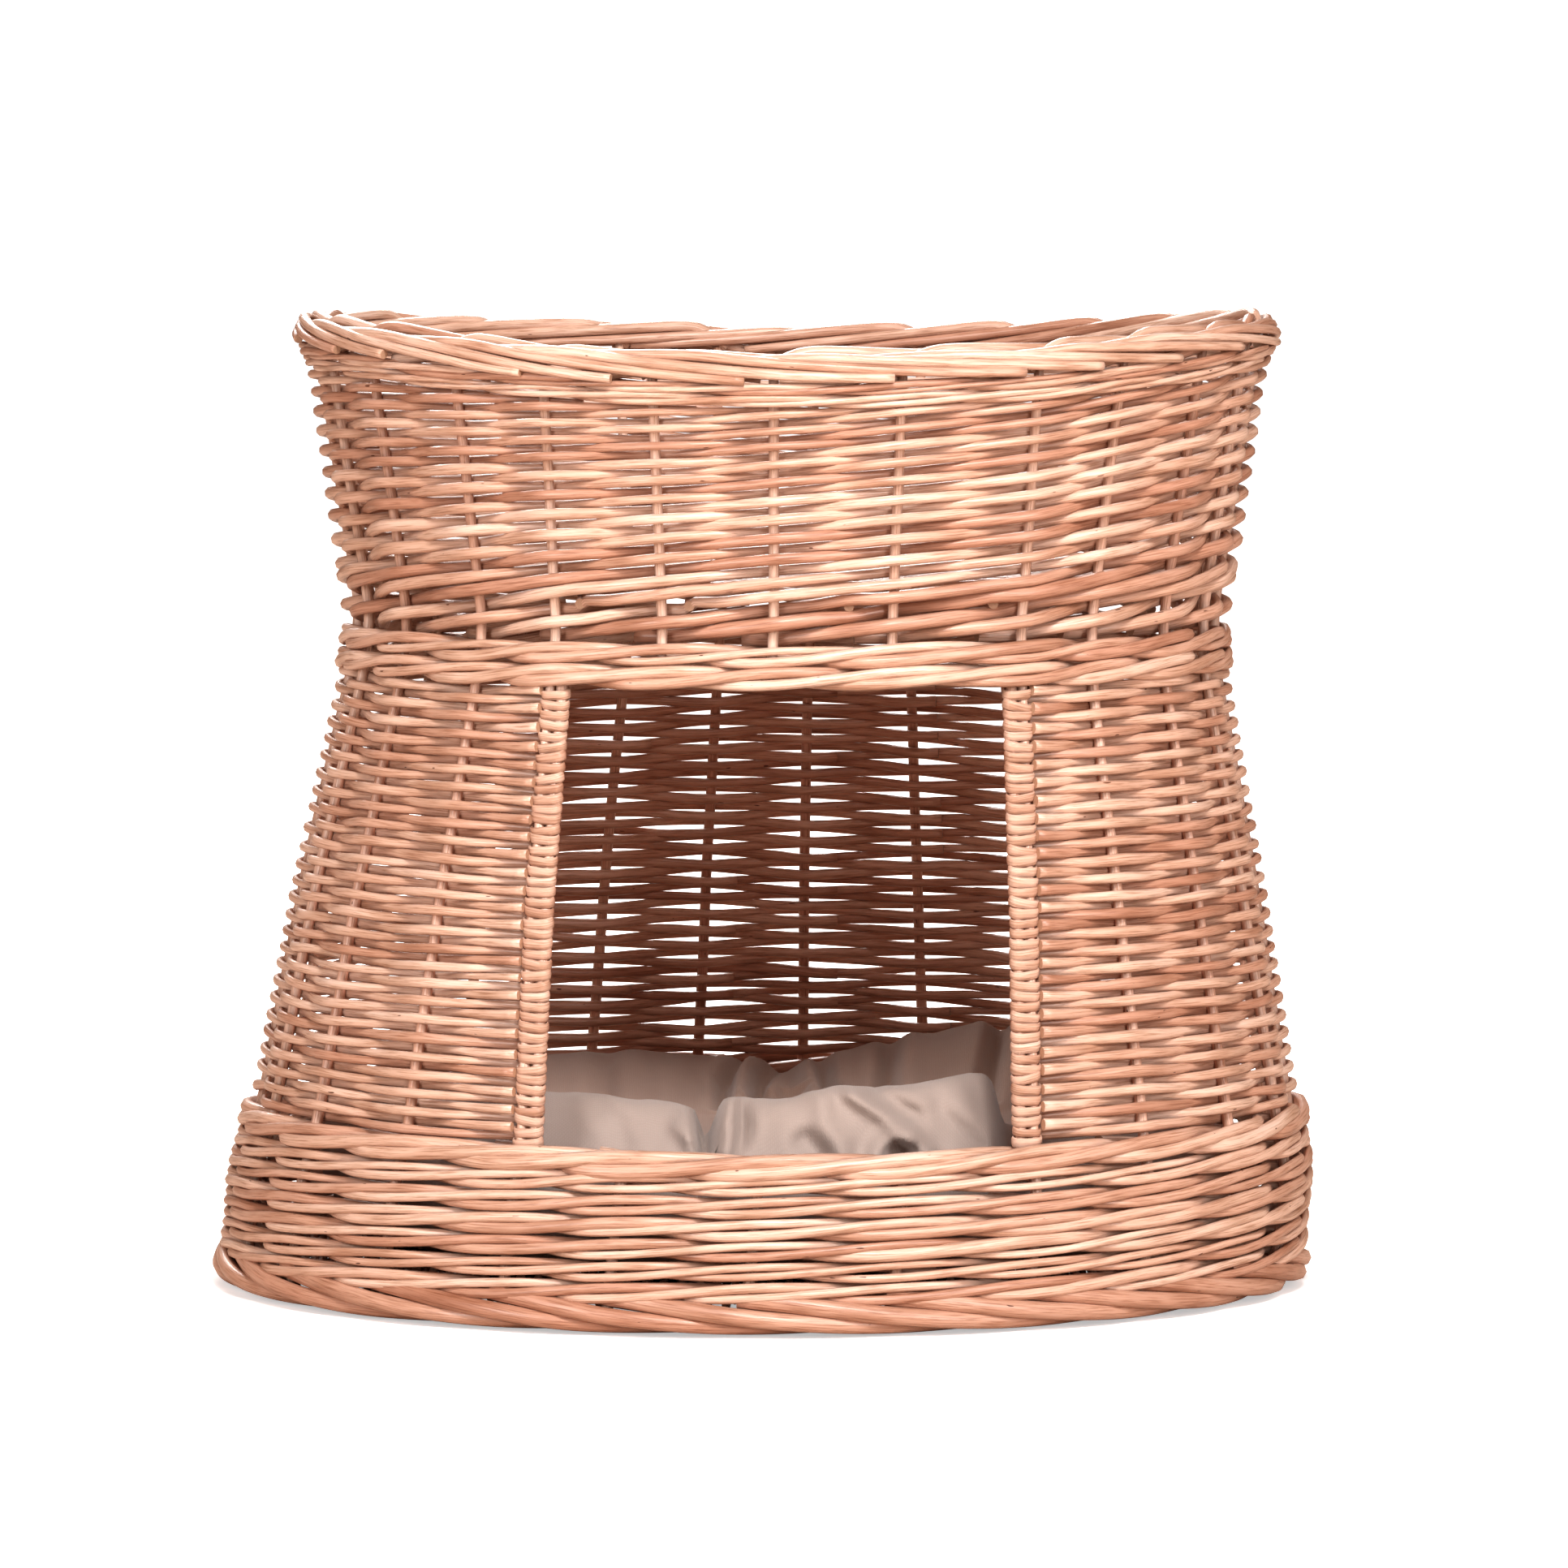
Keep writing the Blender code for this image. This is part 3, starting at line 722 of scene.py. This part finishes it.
def build_door_side(side):
    """Door post, and the weavers' tight turns round it and the jamb stake."""
    post_line = centreline(f"door_post_{side}")
    number = JAMB if side == "right" else STAKES - JAMB

    def post_at(z):
        return np.array([np.interp(z, post_line[:, 2], post_line[:, axis]) for axis in range(2)])

    post = Bundle()
    heights = np.linspace(CAVE_LOW - 0.004, CAVE_HIGH + 0.004, 24)
    post.add(np.array([np.append(post_at(z), z) for z in heights]), STAKE_RADIUS)
    post.build(f"door_post_{side}_rod", WILLOW_STAKE_PAINTED_LIGHT, "basket", [f"door_post_{side}"])
    wraps = Bundle()
    count = int((CAVE_HIGH - 0.001 - WRAP_LOW) / WRAP_PITCH)
    for turn_number in range(count):
        z = WRAP_LOW + (turn_number + 0.5) * (CAVE_HIGH - 0.001 - WRAP_LOW) / count
        z += random.normal(0.0, 0.00016)
        rod = WRAP_ROD * (1.0 + random.normal(0.0, 0.05))
        stake = wall(number, z)[:2]
        centre = post_at(z)
        spacing = float(np.linalg.norm(stake - centre))
        along = (stake - centre) / spacing
        outward = np.array([along[1], -along[0]])
        if outward[1] > 0:
            outward = -outward
        reach = STAKE_RADIUS + rod * WRAP_FLATNESS
        tilt = random.normal(0.0, 0.0005)
        path = []
        for centre_distance, start in ((spacing, -90.0), (0.0, 90.0)):
            for turn in np.radians(start + np.linspace(0.0, 180.0, 9)):
                along_step = centre_distance + reach * math.cos(turn)
                out_step = reach * math.sin(turn)
                place = centre + along * along_step + outward * out_step
                path.append((place[0], place[1], z + tilt * along_step / spacing - 0.0007 * math.sin(turn)))
        wraps.add(np.array(path), rod, tone=random.uniform(0.30, 0.85), closed=True, flatness=WRAP_FLATNESS)
    wraps.build(f"door_wrap_{side}_rods", WILLOW, "basket", [f"door_wrap_{side}"])


def oval_reach(y, half_long, half_wide):
    return half_long * math.sqrt(max(0.0, 1.0 - (y / half_wide) ** 2))


def build_mat(name, plate, sticks, across_x, rod, edge=0.0):
    """Oval woven mat: weavers pass over one stick and under the next. edge is how far they run on into the wall."""
    low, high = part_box(plate)
    half = ((high.x - low.x) / 2, (high.y - low.y) / 2)
    centre = (high + low) / 2
    middle = centre.z
    bundle = Bundle()
    long_axis, wide_axis = (0, 1) if across_x else (1, 0)
    places = []
    for stick in sticks:
        box_low, box_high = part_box(stick)
        places.append((box_low[long_axis] + box_high[long_axis]) / 2 - centre[long_axis])
    count = int(2 * half[wide_axis] / (rod * 2.08))
    for row in range(count):
        at = -half[wide_axis] + (row + 0.5) * 2 * half[wide_axis] / count
        reach = oval_reach(at, half[long_axis] - rod, half[wide_axis]) + edge
        if reach < 0.02:
            continue
        run = np.linspace(-reach, reach, max(8, int(reach / 0.004)))
        marks = np.array([-2 * half[long_axis], *sorted(places), 2 * half[long_axis]])
        phase = np.interp(run, marks, np.arange(len(marks)))
        z = middle + 0.0012 + 0.0022 * np.cos(np.pi * (phase + row))
        path = np.zeros((len(run), 3))
        path[:, long_axis] = run + centre[long_axis]
        path[:, wide_axis] = at + centre[wide_axis] + wander(run * 60, 0.0002, 70 + row)
        path[:, 2] = z
        bundle.add(path, rod * (1.0 + random.normal(0.0, 0.04)))
    bundle.build(name, WILLOW, "basket", [plate])


def build_sticks(name, sticks, along_x, end_gap=0.0):
    bundle = Bundle()
    axis = 0 if along_x else 1
    for stick in sticks:
        low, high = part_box(stick)
        centre = (low + high) / 2
        run = np.linspace(low[axis] + end_gap, high[axis] - end_gap, 30)
        path = np.tile(np.array(centre), (30, 1))
        path[:, axis] = run
        path[:, 2] += wander(run * 50, 0.0003, len(stick))
        bundle.add(path, (high.z - low.z) / 2)
    bundle.build(name, WILLOW_STAKE_PAINTED_LIGHT, "basket", sticks)


build_foot_border()
build_tray()
build_cave()
build_waist()
build_upper_wall()
build_top_border()
build_stakes()
build_door_side("right")
build_door_side("left")
build_mat("base_mat_rods", "base_weave", BASE_STICKS, False, 0.0021)
build_mat("upper_floor_mat_rods", "upper_floor_weave", FLOOR_STICKS, True, 0.0019, 0.0045)
build_sticks("base_stick_rods", BASE_STICKS, True)
build_sticks("upper_floor_stick_rods", FLOOR_STICKS, False, 0.0080)


# ---------------------------------------------------------------- cushion
def cotton_material():
    """Plain-woven beige cotton: threads, a soft nap, uneven dye, and painted shade that makes the part lying back in
    the cave browner.
    """
    material = bpy.data.materials.new("cotton")
    material.use_nodes = True
    tree = material.node_tree
    shader = tree.nodes["Principled BSDF"]
    place = tree.nodes.new("ShaderNodeTexCoord").outputs["Object"]
    blotches = noise(tree, stretched(tree, place, (14.0, 14.0, 14.0)), 1.0, 3.0)
    colour = ramp(tree, blotches, ((0.30, (0.365, 0.298, 0.266)), (0.70, (0.405, 0.332, 0.298))))
    warp = node(tree, "ShaderNodeTexWave", wave_type="BANDS", bands_direction="X", Scale=330.0, Distortion=3.0)
    weft = node(tree, "ShaderNodeTexWave", wave_type="BANDS", bands_direction="Y", Scale=330.0, Distortion=3.0)
    tree.links.new(place, warp.inputs["Vector"])
    tree.links.new(place, weft.inputs["Vector"])
    threads = mix(tree, "MULTIPLY", 1.0, warp.outputs["Color"], weft.outputs["Color"])
    shade = ramp(tree, threads, ((0.0, (0.95, 0.945, 0.94)), (0.5, (1.0, 1.0, 1.0))))
    colour = mix(tree, "MULTIPLY", 1.0, colour, shade)
    parts = tree.nodes.new("ShaderNodeSeparateXYZ")
    tree.links.new(place, parts.inputs["Vector"])
    painted_back_shade = within(tree, parts.outputs["Y"], -0.11, -0.04)
    # Painted shade: the cover behind the roll is multiplied browner and warmer, standing in for the basket's shade on
    # it.
    colour = mix(tree, "MULTIPLY", painted_back_shade, colour, (1.04, 0.88, 0.78, 1.0))
    tree.links.new(colour, shader.inputs["Base Color"])
    shader.inputs["Roughness"].default_value = 0.92
    shader.inputs["Specular IOR Level"].default_value = 0.25
    shader.inputs["Sheen Weight"].default_value = 0.25
    shader.inputs["Sheen Roughness"].default_value = 0.5
    bump = node(tree, "ShaderNodeBump", Strength=0.35, Distance=0.0003)
    tree.links.new(threads, bump.inputs["Height"])
    tree.links.new(bump.outputs["Normal"], shader.inputs["Normal"])
    return material


# Ridge of the roll behind the sill: place along X and height.
ROLL_CREST = (
    (-0.170, 0.096), (-0.130, 0.1030), (-0.103, 0.1046), (-0.092, 0.1061), (-0.077, 0.1057), (-0.062, 0.1038),
    (-0.047, 0.1024), (-0.038, 0.1008), (-0.0335, 0.0960), (-0.0310, 0.0800), (-0.0285, 0.0830),
    (-0.0225, 0.1045), (-0.017, 0.1082), (-0.012, 0.1062), (-0.002, 0.1068), (0.013, 0.1074), (0.021, 0.1107),
    (0.028, 0.1119), (0.040, 0.1129), (0.048, 0.1112), (0.053, 0.1096), (0.058, 0.1108), (0.073, 0.1113),
    (0.088, 0.1129), (0.099, 0.1140), (0.107, 0.1130), (0.1115, 0.1075), (0.1135, 0.0960), (0.117, 0.0850),
    (0.135, 0.0820), (0.170, 0.0820),
)
# Top edge of the cover where it leans against the back wall.
BACK_CREST = (
    (-0.200, 0.0960), (-0.110, 0.0962), (-0.067, 0.0946), (-0.046, 0.0915), (-0.025, 0.0890), (-0.012, 0.0880),
    (-0.002, 0.0850), (0.010, 0.0810), (0.020, 0.0865), (0.034, 0.0915), (0.046, 0.0955), (0.058, 0.0995),
    (0.070, 0.1040), (0.086, 0.1080), (0.103, 0.1120), (0.125, 0.1165), (0.160, 0.1175), (0.200, 0.1100),
)
ROLL_REACH_FRONT = 0.030         # how quickly the roll falls to the front and to the back of its ridge
ROLL_REACH_BACK = 0.040
HOLLOW = 0.072                   # height of the cover between its front roll and its back edge

# Folds on the front of the roll: how far they stand out, half-width, then points (x, z) of the fold.
FRONT_FOLDS = (
    (0.0090, 0.0042, ((-0.0170, 0.1069), (-0.0193, 0.0985), (-0.0185, 0.0910), (-0.0160, 0.0800))),
    (-0.0160, 0.0034, ((-0.0322, 0.1020), (-0.0300, 0.0960), (-0.0306, 0.0885))),
    (-0.0065, 0.0030, ((-0.0118, 0.1056), (-0.0098, 0.0955), (-0.0140, 0.0834))),
    (0.0055, 0.0040, ((-0.0420, 0.0950), (-0.0329, 0.0878), (-0.0231, 0.0840))),
    (0.0075, 0.0040, ((0.0403, 0.1122), (0.0523, 0.1053), (0.0599, 0.0993), (0.0689, 0.0940), (0.0765, 0.0830))),
    (-0.0055, 0.0048, ((0.0516, 0.1127), (0.0604, 0.1058), (0.0700, 0.1000))),
    (0.0045, 0.0050, ((0.0267, 0.1107), (0.0282, 0.0985), (0.0350, 0.0894), (0.0390, 0.0790))),
    (-0.0055, 0.0048, ((0.0185, 0.0895), (0.0270, 0.0804))),
    (0.0070, 0.0042, ((0.0520, 0.0800), (0.0561, 0.0872), (0.0614, 0.0912), (0.0672, 0.0905))),
    (-0.0050, 0.0048, ((0.0595, 0.0840), (0.0675, 0.0840))),
    (0.0035, 0.0060, ((0.0926, 0.1040), (0.1026, 0.0965), (0.1120, 0.0879))),
    (-0.0030, 0.0060, ((0.0850, 0.1020), (0.0960, 0.0900), (0.1030, 0.0800))),
    (-0.0030, 0.0050, ((-0.0800, 0.1040), (-0.0720, 0.0960), (-0.0690, 0.0860))),
)
# Folds on the panels behind the roll: rise, half-width, then points (x, y) of the fold.
BACK_FOLDS = (
    (0.0042, 0.0055, ((-0.0165, 0.020), (-0.0130, 0.085), (-0.0020, 0.150))),
    (-0.0075, 0.0040, ((-0.0225, 0.020), (-0.0215, 0.085), (-0.0110, 0.150))),
    (-0.0070, 0.0036, ((-0.0060, 0.040), (-0.0030, 0.100), (0.0060, 0.150))),
    (0.0035, 0.0040, ((0.0000, 0.060), (0.0060, 0.075), (0.0160, 0.070))),
    (0.0032, 0.0050, ((0.0260, 0.030), (0.0220, 0.090), (0.0190, 0.160))),
    (-0.0080, 0.0040, ((0.0340, 0.030), (0.0290, 0.090), (0.0270, 0.150))),
    (-0.0090, 0.0050, ((0.0600, 0.030), (0.0630, 0.100), (0.0650, 0.175))),
    (0.0012, 0.0060, ((0.0730, 0.030), (0.0760, 0.100), (0.0780, 0.175))),
    (0.0022, 0.0065, ((0.0980, 0.020), (0.1060, 0.100), (0.1100, 0.165))),
    (-0.0085, 0.0046, ((0.1100, 0.020), (0.1180, 0.100), (0.1230, 0.165))),
    (-0.0040, 0.0060, ((-0.0820, 0.010), (-0.0840, 0.100), (-0.0800, 0.170))),
    (0.0015, 0.0060, ((-0.0510, 0.010), (-0.0530, 0.060), (-0.0480, 0.130))),
)
CUSHION_SHRINK = 0.975           # the pad starts smaller, because it swells
CUSHION_CAP = 0.007              # furthest that the cloth may move a point
CUSHION_LIFT = 0.0015            # makes up for what the cloth takes off the rolls


def smooth_table(table, places, width):
    """Smooth curve through a table, at some places. width is the length that it is evened out over."""
    marks, values = np.array(table).T
    fine = np.arange(marks[0], marks[-1], 0.0005)
    half = int(width / 0.001)
    padded = np.pad(np.interp(fine, marks, values), half, mode="edge")
    return np.interp(places, fine, np.convolve(padded, np.ones(2 * half + 1) / (2 * half + 1), mode="valid"))


def distance_to_line(first, second, line):
    """Distance of points from a line with corners."""
    nearest = np.full(first.shape, 1.0)
    for (a1, a2), (b1, b2) in zip(line, line[1:]):
        along = ((first - a1) * (b1 - a1) + (second - a2) * (b2 - a2)) / ((b1 - a1) ** 2 + (b2 - a2) ** 2)
        along = np.clip(along, 0.0, 1.0)
        gap = np.hypot(first - a1 - along * (b1 - a1), second - a2 - along * (b2 - a2))
        nearest = np.minimum(nearest, gap)
    return nearest


def folds(first, second, table):
    """Sum of the folds of a table at some points: each has a round crest between two shallow valleys."""
    total = np.zeros(first.shape)
    for amount, reach, line in table:
        away = distance_to_line(first, second, line) / reach
        total += amount * (np.exp(-away ** 2) - 0.25 * np.exp(-(away - 2.0) ** 2))
    return total


def cushion_height(x, y, half_width, evenness):
    """Height of the cover's upper side: a roll behind the sill, a hollow, and an edge pushed up the back wall."""
    ridge = -0.158 + 0.55 * x * x / half_width
    roll = smooth_table(ROLL_CREST, x, evenness)
    edge = smooth_table(BACK_CREST, x, evenness)
    reach = np.where(y < ridge, ROLL_REACH_FRONT, ROLL_REACH_BACK)
    front = (roll - HOLLOW) * np.exp(-((y - ridge) / reach) ** 2)
    back = (edge - HOLLOW) * ease((y + 0.02) / 0.175)
    return HOLLOW + front + back


def read_points(mesh):
    points = np.empty(len(mesh.vertices) * 3)
    mesh.vertices.foreach_get("co", points)
    return points.reshape(-1, 3)


def write_points(mesh, points):
    mesh.vertices.foreach_set("co", points.reshape(-1).astype(np.float32))
    mesh.update()


def apply_modifiers(item):
    """Replace an object's mesh by what its modifiers make of it."""
    depsgraph = bpy.context.evaluated_depsgraph_get()
    mesh = bpy.data.meshes.new_from_object(item.evaluated_get(depsgraph))
    item.modifiers.clear()
    item.data = mesh


def swell(item, start, pinned):
    """Blow the cover up as cloth, and keep each point within reach of where it started."""
    group = item.vertex_groups.new(name="pinned")
    for index in np.where(pinned > 0.01)[0]:
        group.add([int(index)], float(pinned[index]), "REPLACE")
    cloth = item.modifiers.new("cloth", "CLOTH")
    cloth.settings.quality = 6
    cloth.settings.mass = 0.3
    cloth.settings.tension_stiffness = 14.0
    cloth.settings.compression_stiffness = 8.0
    cloth.settings.shear_stiffness = 5.0
    cloth.settings.bending_stiffness = 0.10
    cloth.settings.shrink_min = -0.04
    cloth.settings.use_pressure = True
    cloth.settings.uniform_pressure_force = 4.0
    cloth.settings.vertex_group_mass = "pinned"
    cloth.settings.effector_weights.gravity = 0.0
    cloth.collision_settings.use_collision = False
    cloth.collision_settings.use_self_collision = False
    cloth.point_cache.frame_start = 1
    cloth.point_cache.frame_end = 20
    for number in range(1, 21):
        bpy.context.scene.frame_set(number)
    apply_modifiers(item)
    bpy.context.scene.frame_set(1)
    points = read_points(item.data)
    moved = points - start
    distance = np.linalg.norm(moved, axis=1)
    capped = CUSHION_CAP * np.tanh(distance / CUSHION_CAP)
    write_points(item.data, start + moved * (capped / np.maximum(distance, 1e-9))[:, None])
    item.vertex_groups.clear()


def shape_cover(points, low, high):
    """Lay the remeshed pad out as the cushion's rolls and folds."""
    middle = np.array([(low.x + high.x) / 2, (low.y + high.y) / 2, 0.0])
    half_length = (high.x - low.x) / 2
    half_width = (high.y - low.y) / 2
    place = points - middle
    place[:, :2] *= CUSHION_SHRINK
    # Share of the pad's own thickness at each point, so that its upper side lands on the new height.
    out = np.clip(np.hypot(place[:, 0] / half_length, place[:, 1] / half_width) / CUSHION_SHRINK, 0.0, 1.0)
    own_top = (0.92 + (1.0 - out ** 5.26) ** 0.31) / 1.92
    share = np.clip((place[:, 2] - low.z) / (high.z - low.z) / own_top, 0.0, 1.0)
    round_part = (1.0 - out ** 26) ** 0.35
    top = cushion_height(points[:, 0], place[:, 1], half_width, 0.060) + CUSHION_LIFT
    top = low.z + (top - low.z) * (0.45 + 0.55 * round_part)
    place[:, 2] = low.z + (top - low.z) * share
    return place + middle


def crease_cover(points, low, high):
    """Press the smaller folds into the swollen cover."""
    half_width = (high.y - low.y) / 2
    x, y, z = points.T.copy()
    upper = ease((z - low.z - 0.025) / 0.035)
    sharp = cushion_height(x, y, half_width, 0.003) - cushion_height(x, y, half_width, 0.060)
    fade = ease((y + 0.09) / 0.06) * (1.0 - 0.75 * ease((y - 0.10) / 0.05))
    points[:, 2] = z + (sharp + folds(x, y, BACK_FOLDS) * fade) * upper
    on_front = ease((-0.085 - y) / 0.04) * ease((points[:, 2] - 0.066) / 0.012)
    points[:, 1] = y - folds(x, points[:, 2], FRONT_FOLDS) * on_front
    points[:, 2] = np.maximum(points[:, 2], low.z)
    return points


def build_cushion():
    """Loose cotton pad that fills the cave's floor."""
    low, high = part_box("lower_cushion")
    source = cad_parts["lower_cushion"]
    mesh = source.data.copy()
    mesh.materials.clear()
    piece = bpy.data.objects.new("lower_cushion_cover", mesh)
    bpy.context.scene.collection.objects.link(piece)
    remesh = piece.modifiers.new("remesh", "REMESH")
    remesh.mode = "VOXEL"
    remesh.voxel_size = 0.0048
    relax = piece.modifiers.new("relax", "SMOOTH")
    relax.factor = 0.5
    relax.iterations = 12
    apply_modifiers(piece)
    points = shape_cover(read_points(piece.data), low, high)
    write_points(piece.data, points)
    swell(piece, points, np.clip(1.0 - (points[:, 2] - low.z) / 0.030, 0.0, 1.0))
    smooth = piece.modifiers.new("smooth", "SUBSURF")
    smooth.levels = smooth.render_levels = 1
    apply_modifiers(piece)
    write_points(piece.data, crease_cover(read_points(piece.data), low, high))
    piece.data.name = "lower_cushion_cover"
    piece.data.materials.append(cotton_material())
    piece.data.shade_smooth()
    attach(piece, "cushion")
    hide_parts("lower_cushion")


build_cushion()


# ---------------------------------------------------------------- stage, lights and camera
ROOM_LIGHT = 0.31
ROOM_COLOUR = (1.0, 0.60, 0.42, 1.0)
EXPOSURE = -0.10                # stops
CONTRAST = 0.86                 # below 1 the darks are deeper
BACKDROP = 1.25                 # keeps the backdrop white under that exposure


def only_for_camera(tree, seen, unseen):
    """Mix of two shaders: the first for rays straight from the camera, the second for all others."""
    path = tree.nodes.new("ShaderNodeLightPath")
    mixed = tree.nodes.new("ShaderNodeMixShader")
    tree.links.new(path.outputs["Is Camera Ray"], mixed.inputs["Fac"])
    tree.links.new(unseen, mixed.inputs[1])
    tree.links.new(seen, mixed.inputs[2])
    return mixed.outputs["Shader"]


def build_floor():
    """Pale floor that fades into the white backdrop away from the basket."""
    bpy.ops.mesh.primitive_plane_add(size=14.0, location=(0.0, 0.0, -0.0006))
    floor = bpy.context.active_object
    floor.name = "floor"
    material = bpy.data.materials.new("pale_floor")
    material.use_nodes = True
    tree = material.node_tree
    shader = tree.nodes["Principled BSDF"]
    shader.inputs["Base Color"].default_value = (0.90, 0.90, 0.90, 1.0)
    shader.inputs["Roughness"].default_value = 0.9
    shader.inputs["Specular IOR Level"].default_value = 0.0
    glow = node(tree, "ShaderNodeEmission", Color=(1.0, 1.0, 1.0, 1.0))
    place = tree.nodes.new("ShaderNodeNewGeometry").outputs["Position"]
    away = node(tree, "ShaderNodeVectorMath", operation="LENGTH")
    tree.links.new(place, away.inputs[0])
    fade = tree.nodes.new("ShaderNodeMapRange")
    fade.inputs["From Min"].default_value = 0.30
    fade.inputs["From Max"].default_value = 0.75
    fade.inputs["To Min"].default_value = 0.55
    fade.inputs["To Max"].default_value = BACKDROP
    tree.links.new(away.outputs["Value"], fade.inputs["Value"])
    tree.links.new(fade.outputs["Result"], glow.inputs["Strength"])
    unseen = tree.nodes.new("ShaderNodeBsdfDiffuse")
    unseen.inputs["Color"].default_value = (0.70, 0.55, 0.45, 1.0)
    both = tree.nodes.new("ShaderNodeAddShader")
    tree.links.new(shader.outputs["BSDF"], both.inputs[0])
    tree.links.new(glow.outputs["Emission"], both.inputs[1])
    output = tree.nodes["Material Output"]
    tree.links.new(only_for_camera(tree, both.outputs["Shader"], unseen.outputs["BSDF"]), output.inputs["Surface"])
    floor.data.materials.append(material)


def build_world():
    """Room light for the basket, behind a pure white backdrop."""
    world = bpy.data.worlds.new("studio")
    world.use_nodes = True
    tree = world.node_tree
    backdrop = tree.nodes["Background"]
    backdrop.inputs["Color"].default_value = (1.0, 1.0, 1.0, 1.0)
    backdrop.inputs["Strength"].default_value = BACKDROP
    room = node(tree, "ShaderNodeBackground", Color=ROOM_COLOUR, Strength=ROOM_LIGHT)
    output = tree.nodes["World Output"]
    mixed = only_for_camera(tree, backdrop.outputs["Background"], room.outputs["Background"])
    tree.links.new(mixed, output.inputs["Surface"])
    bpy.context.scene.world = world


def add_softbox(name, place, target, size, power):
    light = bpy.data.lights.new(name, "AREA")
    light.shape = "RECTANGLE"
    light.size, light.size_y = size
    light.energy = power
    lamp = bpy.data.objects.new(name, light)
    lamp.location = place
    lamp.rotation_euler = (Vector(target) - Vector(place)).to_track_quat("-Z", "Y").to_euler()
    bpy.context.scene.collection.objects.link(lamp)


def build_lights():
    middle = (0.0, 0.0, 0.25)
    add_softbox("softbox_above", (0.45, -2.3, 2.25), middle, (1.0, 0.8), 93.0)
    add_softbox("softbox_right", (1.7, -2.2, 0.95), middle, (0.8, 1.2), 36.0)
    add_softbox("softbox_left", (-1.7, -2.2, 0.95), middle, (0.8, 1.2), 38.0)
    add_softbox("softbox_back", (-0.5, 2.6, 2.0), middle, (1.6, 1.2), 80.0)


def build_camera():
    camera = bpy.data.cameras.new("camera")
    camera.lens = 210.5
    camera.sensor_width = 36.0
    camera.clip_end = 50.0
    item = bpy.data.objects.new("camera", camera)
    item.location = (0.0085, -4.58, 0.62)
    item.rotation_euler = (math.radians(90.0 - 4.635), 0.0, 0.0)
    bpy.context.scene.collection.objects.link(item)
    bpy.context.scene.camera = item


build_floor()
build_world()
build_lights()
build_camera()
bpy.context.scene.view_settings.view_transform = "Standard"
bpy.context.scene.view_settings.exposure = EXPOSURE
bpy.context.scene.view_settings.gamma = CONTRAST
